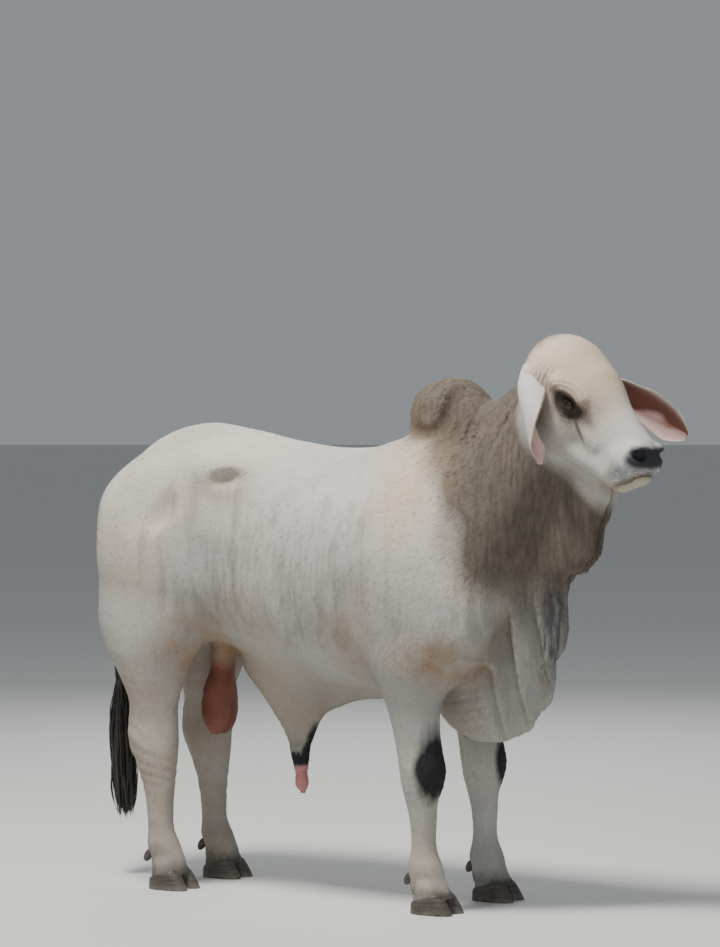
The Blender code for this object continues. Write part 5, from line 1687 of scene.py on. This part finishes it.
@dataclass
class Ear:
    """One ear: rolled into a tube at its root, opening into a leaf with a rounded tip."""

    side: int
    rows: int = 60
    spans: int = 36
    hairs: int = 900

    def __post_init__(self) -> None:
        """Work out the axes along the ear's line, the places across it and the shell's points."""
        self.shape = HANGING_EAR if self.side < 0 else HELD_OUT_EAR
        self.t = np.linspace(0, 0.99, self.rows)
        self.along = unit(np.gradient(self.line(self.t), axis=0))
        facing = np.array(self.shape.facing)
        normal = unit(facing - self.along * (self.along @ facing)[:, None])
        across = np.cross(self.along, normal)
        turn = np.radians(np.interp(self.t, *self.shape.turn))
        c, s = np.cos(turn)[:, None], np.sin(turn)[:, None]
        self.normal, self.across = c * normal + s * across, c * across - s * normal
        v = np.sin(np.linspace(-0.5, 0.5, self.spans) * math.pi)
        self.v = np.concatenate([v, v[::-1][1:-1]])
        self.outer = np.concatenate([np.ones(self.spans), -np.ones(self.spans - 2)])
        self.points = self.shell()

    @property
    def name(self) -> str:
        """The node that the ear stands for."""
        return f"ear_{side_name(self.side)}"

    def line(self, t: Array) -> Array:
        """The middle line: the right ear hangs beside the cheek, the left one is held out."""
        root = from_head(np.array([0.066, self.side * 0.130, -0.028]))
        if self.side < 0:
            outward = -0.050 * np.sin(math.pi * np.clip(t * 1.1, 0, 1)) - 0.005 * t
            back = -0.004 * np.sin(math.pi * t) + 0.045 * t * t
            return root + np.stack([back, outward, 0.032 - 0.317 * t**1.1], -1)
        return root + np.stack([0.256 * t, 0.236 * t, -0.200 * t**0.9], -1)

    def shell(self) -> Array:
        """Each row is an arc of radius half width / roll, with a thickness, a ridge and a wavy edge.

        Returns:
            The points, row by row: along the back and then along the inside.
        """
        t, v = self.t[:, None], self.v[None]
        roll = np.radians(np.interp(self.t, *self.shape.roll))
        depth = (0.0030 + 0.0045 * (1 - t)) * np.sqrt(np.maximum(1 - v**6, 0.0))
        ridge = 0.0011 * np.cos(3 * math.pi * v) * np.sin(math.pi * t) * (self.outer < 0)[None]
        wavy = 0.0018 * np.sin(26 * t) * np.abs(v) ** 4
        radius = (self.shape.half_width(self.t) / roll)[:, None]
        angle = v * roll[:, None]
        r = radius + self.outer[None] * depth * 0.5 + ridge + wavy
        points = self.line(self.t)[:, None] + (r * np.sin(angle))[..., None] * self.across[:, None]
        return points + (radius - r * np.cos(angle))[..., None] * self.normal[:, None]

    def caps(self, wide: int) -> list:
        """Triangles across both open ends of the shell, in a zigzag between its back and its inside."""
        faces = []
        last = (self.rows - 1) * wide
        for start in (0, last):
            for low in range(1, self.spans - 1):
                high, beyond, after = low + 1, wide - low, wide - low - 1
                faces.append((start + low, start + high, start + beyond))
                if high != after:
                    faces.append((start + high, start + after, start + beyond))
        return faces + [(0, 1, wide - 1), (last, last + 1, last + wide - 1)]

    def build(self, finish: bpy.types.Material) -> bpy.types.Object:
        """Make the shell, closed at both ends, with the masks that its finish reads.

        Args:
            finish: the ear's material.

        Returns:
            The ear.
        """
        wide = len(self.v)
        faces = np.concatenate([halved(ring_quads(self.rows, wide)), np.array(self.caps(wide))])
        obj = mesh_object(f"{self.name}_skin", self.points.reshape(-1, 3), faces)
        t, v = self.t[:, None], self.v[None]
        # where the cup is deep, with red-brown skin and painted shade: near the hanging ear's root and on the
        # held-out ear's upper inside
        if self.side < 0:
            deep = np.clip(1.25 - 1.5 * t, 0, 1) * np.ones_like(v)
        else:
            upper = 1.0 - 1.8 * v - 1.1 * t + 0.28 * np.sin(17 * t + 2 * v)
            deep = np.clip(upper, 0, 1) * (1 - v**8)
        inner = self.outer < 0
        paint_number(obj, "inside", np.tile(inner * (1 - np.abs(self.v) ** 8), self.rows))
        paint_number(obj, "deep", deep)
        paint_number(obj, "rim", np.tile(np.abs(self.v) ** 10, self.rows))
        paint_number(obj, "vein", np.tile(bell(self.v, 0.10) * inner, self.rows))
        obj.data.materials.append(finish)
        return obj

    def fringe(self, finish: bpy.types.Material, draw: np.random.Generator) -> bpy.types.Object:
        """Short hair along both rims.

        Args:
            finish: the hair's material.
            draw: the seeded source of chance.

        Returns:
            The fringe.
        """
        count = self.hairs
        rim = self.points[:, [0, self.spans - 1]]
        row = draw.uniform(4, self.rows - 2, count)
        low = row.astype(int)
        share = (row - low)[:, None]
        which = draw.integers(0, 2, count)
        root = rim[low, which] * (1 - share) + rim[low + 1, which] * share
        away = unit(root - rim[low, 1 - which])
        out = unit(-self.normal[low] * 0.8 + away * 0.6)
        lie = self.along[low] + away * draw.uniform(0.2, 0.7, (count, 1)) + draw.normal(0, 0.15, (count, 3))
        tufts = Tufts(
            root - away * 0.002, out, along_skin(lie, out), draw.uniform(0.005, 0.010, count),
            draw.uniform(0.0005, 0.0010, count), draw.uniform(-0.2, 0.3, count), skin_shaded=False,
        )
        obj = tufts.build(f"{self.name}_fringe")
        obj.data.materials.append(finish)
        return obj


@dataclass
class Eye:
    """One eye, with its lashes."""

    side: int
    rows: int = 40
    wide: int = 56
    radius: float = EYE_RADIUS * 0.975
    bulge: float = 0.035
    lash_count: int = 90

    @property
    def name(self) -> str:
        """The node that the eye stands for."""
        return f"eye_{side_name(self.side)}"

    def build(self, finish: bpy.types.Material) -> bpy.types.Object:
        """A ball whose front bulges a little as the cornea, on a grid of lift and turn around the gaze.

        Args:
            finish: the eye's material.

        Returns:
            The eyeball.
        """
        lift, turn = ball_grid(self.rows, self.wide)
        gaze = head_axes() @ (EYE_OUTWARD * (1, self.side, 1))
        level = head_axes() @ np.array([1.0, 0, -0.15])
        level -= gaze * (level @ gaze)
        level /= np.linalg.norm(level)
        up = np.cross(gaze, level)
        r = self.radius * (1 + self.bulge * bell(lift, 0.55))
        a, b = np.sin(lift) * np.cos(turn), np.sin(lift) * np.sin(turn)
        points = from_head(EYE * (1, self.side, 1)) + (r * np.cos(lift))[..., None] * gaze
        points = points + (r * a)[..., None] * level + (r * b)[..., None] * up
        quads = ring_quads(self.rows, self.wide)
        obj = mesh_object(f"eyeball_{side_name(self.side)}", points.reshape(-1, 3), quads)
        paint_number(obj, "iris", np.clip((0.80 - lift) / 0.08, 0, 1))
        paint_number(obj, "pupil", np.clip((1 - np.hypot(a / 0.48, b / 0.24)) / 0.12, 0, 1) * (lift < 1.5))
        obj.data.materials.append(finish)
        return obj

    def lashes(self, finish: bpy.types.Material, draw: np.random.Generator) -> bpy.types.Object:
        """Curved lashes along the upper lid, a few along the lower.

        Args:
            finish: the lashes' material.
            draw: the seeded source of chance.

        Returns:
            The lashes.
        """
        count = self.lash_count
        axes = head_axes() * np.array([1, self.side, 1])
        upper = draw.random(count) < 0.75
        s = draw.uniform(-0.9, 0.9, count)
        level = np.full(count, 0.0)
        lid = np.stack([0.024 * s, level, np.where(upper, 0.0125, -0.0125) * np.sqrt(1 - s * s)], 1)
        front = EYE_OUTWARD * 0.0205 * np.cos(np.abs(s))[:, None]
        root = from_head((EYE + lid + front) * (1, self.side, 1))
        out = unit(np.stack([0.35 * s + 0.2, np.full(count, 0.9), np.where(upper, 0.25, -0.35)], 1) @ axes.T)
        lie = np.stack([0.5 * s, np.full(count, 0.35), np.where(upper, -0.75, -0.55)], 1) @ axes.T
        tufts = Tufts(
            root, out, along_skin(lie, out), np.where(upper, 0.020, 0.009) * draw.uniform(0.7, 1.2, count),
            np.full(count, 0.00035), np.where(upper, 0.95, 0.6), droop=0.35, skin_shaded=False,
        )
        obj = tufts.build(f"lashes_{side_name(self.side)}")
        obj.data.materials.append(finish)
        return obj


@dataclass
class Hoof:
    """The two claws and two dewclaws of one foot."""

    bull: Bull
    name: str
    foot: Foot
    cell: float = 0.0045
    dewclaw_radii: tuple = (0.0138, 0.0128, 0.0238)
    dewclaw_lean: float = math.radians(30)
    dewclaw_forward: float = 0.010
    dewclaw_apart: float = 0.026
    dewclaw_height: float = 0.108
    dewclaw_rows: int = 18
    dewclaw_wide: int = 24

    def claw(self, p: Array, across: int) -> Array:
        """One claw alone, below the coronet, clear of the cleft.

        Args:
            p: the points.
            across: -1 for the claw on the foot's right, 1 for the one on its left.

        Returns:
            The distances.
        """
        q = p - self.foot.sole
        d = np.maximum.reduce([self.bull.body(p), 0.0012 - q[:, 1] * across, -q[:, 2]])
        coronet = 0.052 + 0.31 * q[:, 0]
        return -union(-d, -(q[:, 2] - coronet - 0.004 * np.sin(90 * q[:, 1])) * 0.9, 0.006)

    def build(self, finish: bpy.types.Material) -> list:
        """Make the four horn pieces.

        Args:
            finish: the horn's material.

        Returns:
            The pieces, each with the node that it stands for.
        """
        pieces = []
        x, middle, _ = self.foot.sole
        for label, across in (("outer", self.foot.side), ("inner", -self.foot.side)):
            shape = partial(self.claw, across=across)
            near, far = sorted((middle - 0.006 * across, middle + across * 0.085))
            low, high = (x - 0.09, near - 0.004, -0.012), (x + 0.13, far + 0.004, 0.115)
            points, faces = Net(shape, low, high, self.cell).build()
            points = settled(shape, settled(shape, points, 0.001), 0.001)
            points[:, 2] = np.where(points[:, 2] < 0.0018, 0.0, points[:, 2])
            claw = mesh_object(f"horn_{self.name}_{label}", points, faces)
            pieces.append((claw, f"claw_{self.name}_{label}"))
            pieces.append((self.dewclaw(label, across), f"dewclaw_{self.name}_{label}"))
        for obj, _ in pieces:
            obj.data.materials.append(finish)
        return pieces

    def dewclaw(self, label: str, across: int) -> bpy.types.Object:
        """A blunt horn bump low behind the fetlock: an ellipsoid that leans back."""
        lift, turn = ball_grid(self.dewclaw_rows, self.dewclaw_wide)
        ball = np.stack([np.sin(lift) * np.cos(turn), np.sin(lift) * np.sin(turn), np.cos(lift)], -1)
        x, y, z = (ball.reshape(-1, 3) * self.dewclaw_radii).T
        c, s = math.cos(self.dewclaw_lean), math.sin(self.dewclaw_lean)
        fetlock = self.foot.table[2][1] + self.foot.forward
        side = self.foot.middle + across * self.dewclaw_apart
        at = np.array([fetlock + self.dewclaw_forward, side, self.dewclaw_height])
        points = np.stack([c * x + s * z, y, c * z - s * x], 1) + at
        quads = ring_quads(self.dewclaw_rows, self.dewclaw_wide)[:, [0, 3, 2, 1]]
        return mesh_object(f"dewhorn_{self.name}_{label}", points, quads)


@dataclass
class Switch:
    """The black brush at the tail's end."""

    locks: int = 360
    stations: int = 9
    seed: int = 7

    def build(self, finish: bpy.types.Material) -> bpy.types.Object:
        """Long locks that start around the tail's bone and fall in a slim brush.

        Each lock's middle line swings out and then falls:
        start + side * bow * sin(pi t) + side * spread * t + sway * sin(4 t) + down * fall * t.

        Args:
            finish: the hair's material.

        Returns:
            The brush.
        """
        draw = np.random.default_rng(self.seed)
        n = self.locks
        level = np.sort(draw.random(n)) ** 1.15
        turn = draw.uniform(0, 2 * math.pi, n)
        side = np.stack([np.cos(turn), np.sin(turn), np.zeros(n)], 1)
        top = SWITCH_TOP + 0.045 - 0.30 * level
        start = np.stack([np.full(n, TAIL[-1][0][0]) + 0.004, np.zeros(n), top], 1)
        start = start + side * np.where(top > 0.63, 0.016, 0.010)[:, None]
        end_z = SWITCH_END + 0.012 + 0.34 * (1 - level) ** 2 * draw.random(n) + 0.05 * draw.random(n)
        fall = np.maximum(top - end_z, 0.06)
        bow = draw.uniform(0.010, 0.030, n) * fade(fall, 0.05, 0.25)
        spread = draw.uniform(-0.006, 0.020, n)
        width = draw.uniform(0.0035, 0.0075, n)
        sway = draw.normal(0, 0.004, (n, 3)) * (1, 1, 0)
        t = np.arange(self.stations) / self.stations
        across = np.cross(side, (0, 0, 1.0))
        rows = []
        for at in (*t, 1.0):
            out = (bow * math.sin(math.pi * at) + spread * at)[:, None]
            down = np.stack([np.zeros(n), np.zeros(n), fall * at], 1)
            middle = start + side * out + sway * math.sin(4 * at)
            middle = middle + np.array([0.014 * at, 0, 0]) - down
            full = (width * math.sin(math.pi * (0.18 + 0.80 * at)))[:, None]
            wide, thick = across * full, side * full * 0.4
            rows += [middle + wide, middle + thick, middle - wide, middle - thick] if at < 1.0 else [middle]
        points = np.stack(rows, 1)
        per = points.shape[1]
        last = 4 * (self.stations - 1)
        tip = np.array([(last + j, last + (j + 1) % 4, per - 1) for j in range(4)])
        lock = np.concatenate([halved(ring_quads(self.stations, 4)), tip, np.array([(2, 1, 0), (3, 2, 0)])])
        faces = repeated(lock[:, ::-1], per, n)
        obj = mesh_object("tail_switch_hair", points.reshape(-1, 3), faces)
        give_bake_map(obj, start, side, per)
        obj.data.materials.append(finish)
        return obj


@dataclass(frozen=True)
class Light:
    """A square soft light: where it hangs, what it points at, its width, watts and colour."""

    name: str
    place: tuple
    aim: tuple
    width: float
    watts: float
    colour: tuple


LIGHTS = (
    Light("key", (-0.6, -2.2, 6.4), (0.1, 0.0, 1.1), 1.5, 600, (1.0, 0.975, 0.94)),
    Light("fill", (6.5, -6.0, 2.2), (0.2, 0.0, 0.9), 4.5, 80, (0.94, 0.97, 1.0)),
    Light("back", (-3.0, 5.0, 4.5), (0.0, 0.0, 1.1), 3.0, 160, (1.0, 1.0, 1.0)),
)


def stood(obj: bpy.types.Object, place: Array, right: Array, back: Array) -> None:
    """Link a lamp or a camera and stand it at its place.

    Args:
        obj: the object.
        place: where it stands.
        right: the way its own x points.
        back: the way its own z points, away from what it looks at.
    """
    bpy.context.scene.collection.objects.link(obj)
    grid = np.eye(4)
    grid[:3, :3] = np.stack([right, np.cross(back, right), back], 1)
    grid[:3, 3] = place
    obj.matrix_world = Matrix(grid.tolist())


@dataclass(frozen=True)
class Stage:
    """Floor, light and camera. The camera has the photograph's view: 32 degrees round to the front."""

    floor_radius: float = 150
    floor_corners: int = 96
    floor_colour: tuple = (0.62, 0.62, 0.60)
    sky_colour: tuple = (0.80, 0.86, 0.92, 1.0)
    sky_strength: float = 0.34
    camera_place: tuple = (5.9976, -9.2232, 1.59)
    camera_azimuth: float = math.radians(32)
    camera_pitch: float = math.radians(1.0606)
    camera_lens: float = 126.285

    def floor(self) -> None:
        """A wide pale disc at z = 0."""
        n = self.floor_corners
        turn = np.linspace(0, 2 * math.pi, n, endpoint=False)
        rim = np.stack([self.floor_radius * np.cos(turn), self.floor_radius * np.sin(turn), np.zeros(n)], 1)
        mesh = bpy.data.meshes.new("floor")
        mesh.from_pydata(rim.tolist(), [], [list(range(n))])
        obj = bpy.data.objects.new("floor", mesh)
        bpy.context.scene.collection.objects.link(obj)
        mesh.materials.append(Shader("floor_pale").finish(Base_Color=self.floor_colour, Roughness=0.9))

    def lights(self) -> None:
        """A broad key from above and in front, a soft fill, a light behind and a pale surround."""
        for light in LIGHTS:
            lamp = bpy.data.lights.new(light.name, "AREA")
            lamp.size = light.width
            lamp.energy = light.watts
            lamp.color = light.colour
            back = np.array(light.place, float) - np.array(light.aim, float)
            back /= np.linalg.norm(back)
            right = np.cross((0, 0, 1.0), back)
            right /= np.linalg.norm(right)
            stood(bpy.data.objects.new(light.name, lamp), light.place, right, back)
        world = bpy.data.worlds.new("surround")
        bpy.context.scene.world = world
        world.use_nodes = True
        sky = world.node_tree.nodes["Background"]
        sky.inputs["Color"].default_value = self.sky_colour
        sky.inputs["Strength"].default_value = self.sky_strength

    def camera(self) -> None:
        """The photograph's view, 11 m away at eye height."""
        azimuth, pitch = self.camera_azimuth, self.camera_pitch
        right = np.array([math.cos(azimuth), math.sin(azimuth), 0])
        level = np.array([-math.sin(azimuth), math.cos(azimuth), 0])
        ahead = level * math.cos(pitch) - np.array([0, 0, math.sin(pitch)])
        data = bpy.data.cameras.new("camera")
        data.sensor_fit = "AUTO"
        data.sensor_width = 36.0
        data.lens = self.camera_lens
        data.clip_end = 400.0
        obj = bpy.data.objects.new("camera", data)
        stood(obj, np.array(self.camera_place) - MIDDLE, right, -ahead)
        bpy.context.scene.camera = obj


FLESH = (
    "torso", "neck", "hump", "head", "dewlap_throat", "dewlap_chest", "sheath", "prepuce", "scrotum", "tail",
    "hindleg_right", "hindleg_left", "foreleg_right", "foreleg_left",
)


def carried(obj: bpy.types.Object, slot: str, *nodes: str) -> None:
    """Fix a piece to the bull and hide the solids of the nodes that it stands for."""
    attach(obj, "root")
    if nodes:
        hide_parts(*nodes)
    log.info("%s: %d faces", obj.name, len(obj.data.polygons))


FRINGE_SEED = 5


def main() -> None:
    """Build the bull piece by piece, then the stage."""
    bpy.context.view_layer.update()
    bull = Bull()
    hide = Hide(bull)
    points, faces = hide.surface()
    masks = Markings(bull).at(points)
    skin = mesh_object("skin", points, faces)
    paint_masks(skin, masks)
    skin.data.materials.append(HideFinish().build())
    carried(skin, "white_hide", *FLESH)
    for piece in hide.dress(points, faces, masks, HideFinish().build("hide_tufts", tufts=True)):
        carried(piece, "white_hide")
    draw = np.random.default_rng(FRINGE_SEED)
    ear_finish, fringe_finish = EarFinish().build(), FRINGE_HAIR.build()
    eye_finish, lash_finish = EyeFinish().build(), LASH_HAIR.build()
    for side in (-1, 1):
        ear, eye = Ear(side), Eye(side)
        carried(ear.build(ear_finish), "ear_hide", ear.name)
        carried(ear.fringe(fringe_finish, draw), "ear_hide")
        carried(eye.build(eye_finish), "eye_wet", eye.name)
        carried(eye.lashes(lash_finish, draw), "black_hair")
    horn = HornFinish().build()
    for name, foot in LEGS.items():
        for obj, node in Hoof(bull, name, foot).build(horn):
            carried(obj, "hoof_horn", node)
    carried(Switch().build(SWITCH_HAIR.build()), "black_hair", "tail_switch")
    stage = Stage()
    stage.floor()
    stage.lights()
    stage.camera()


if __name__ == "__main__":
    main()
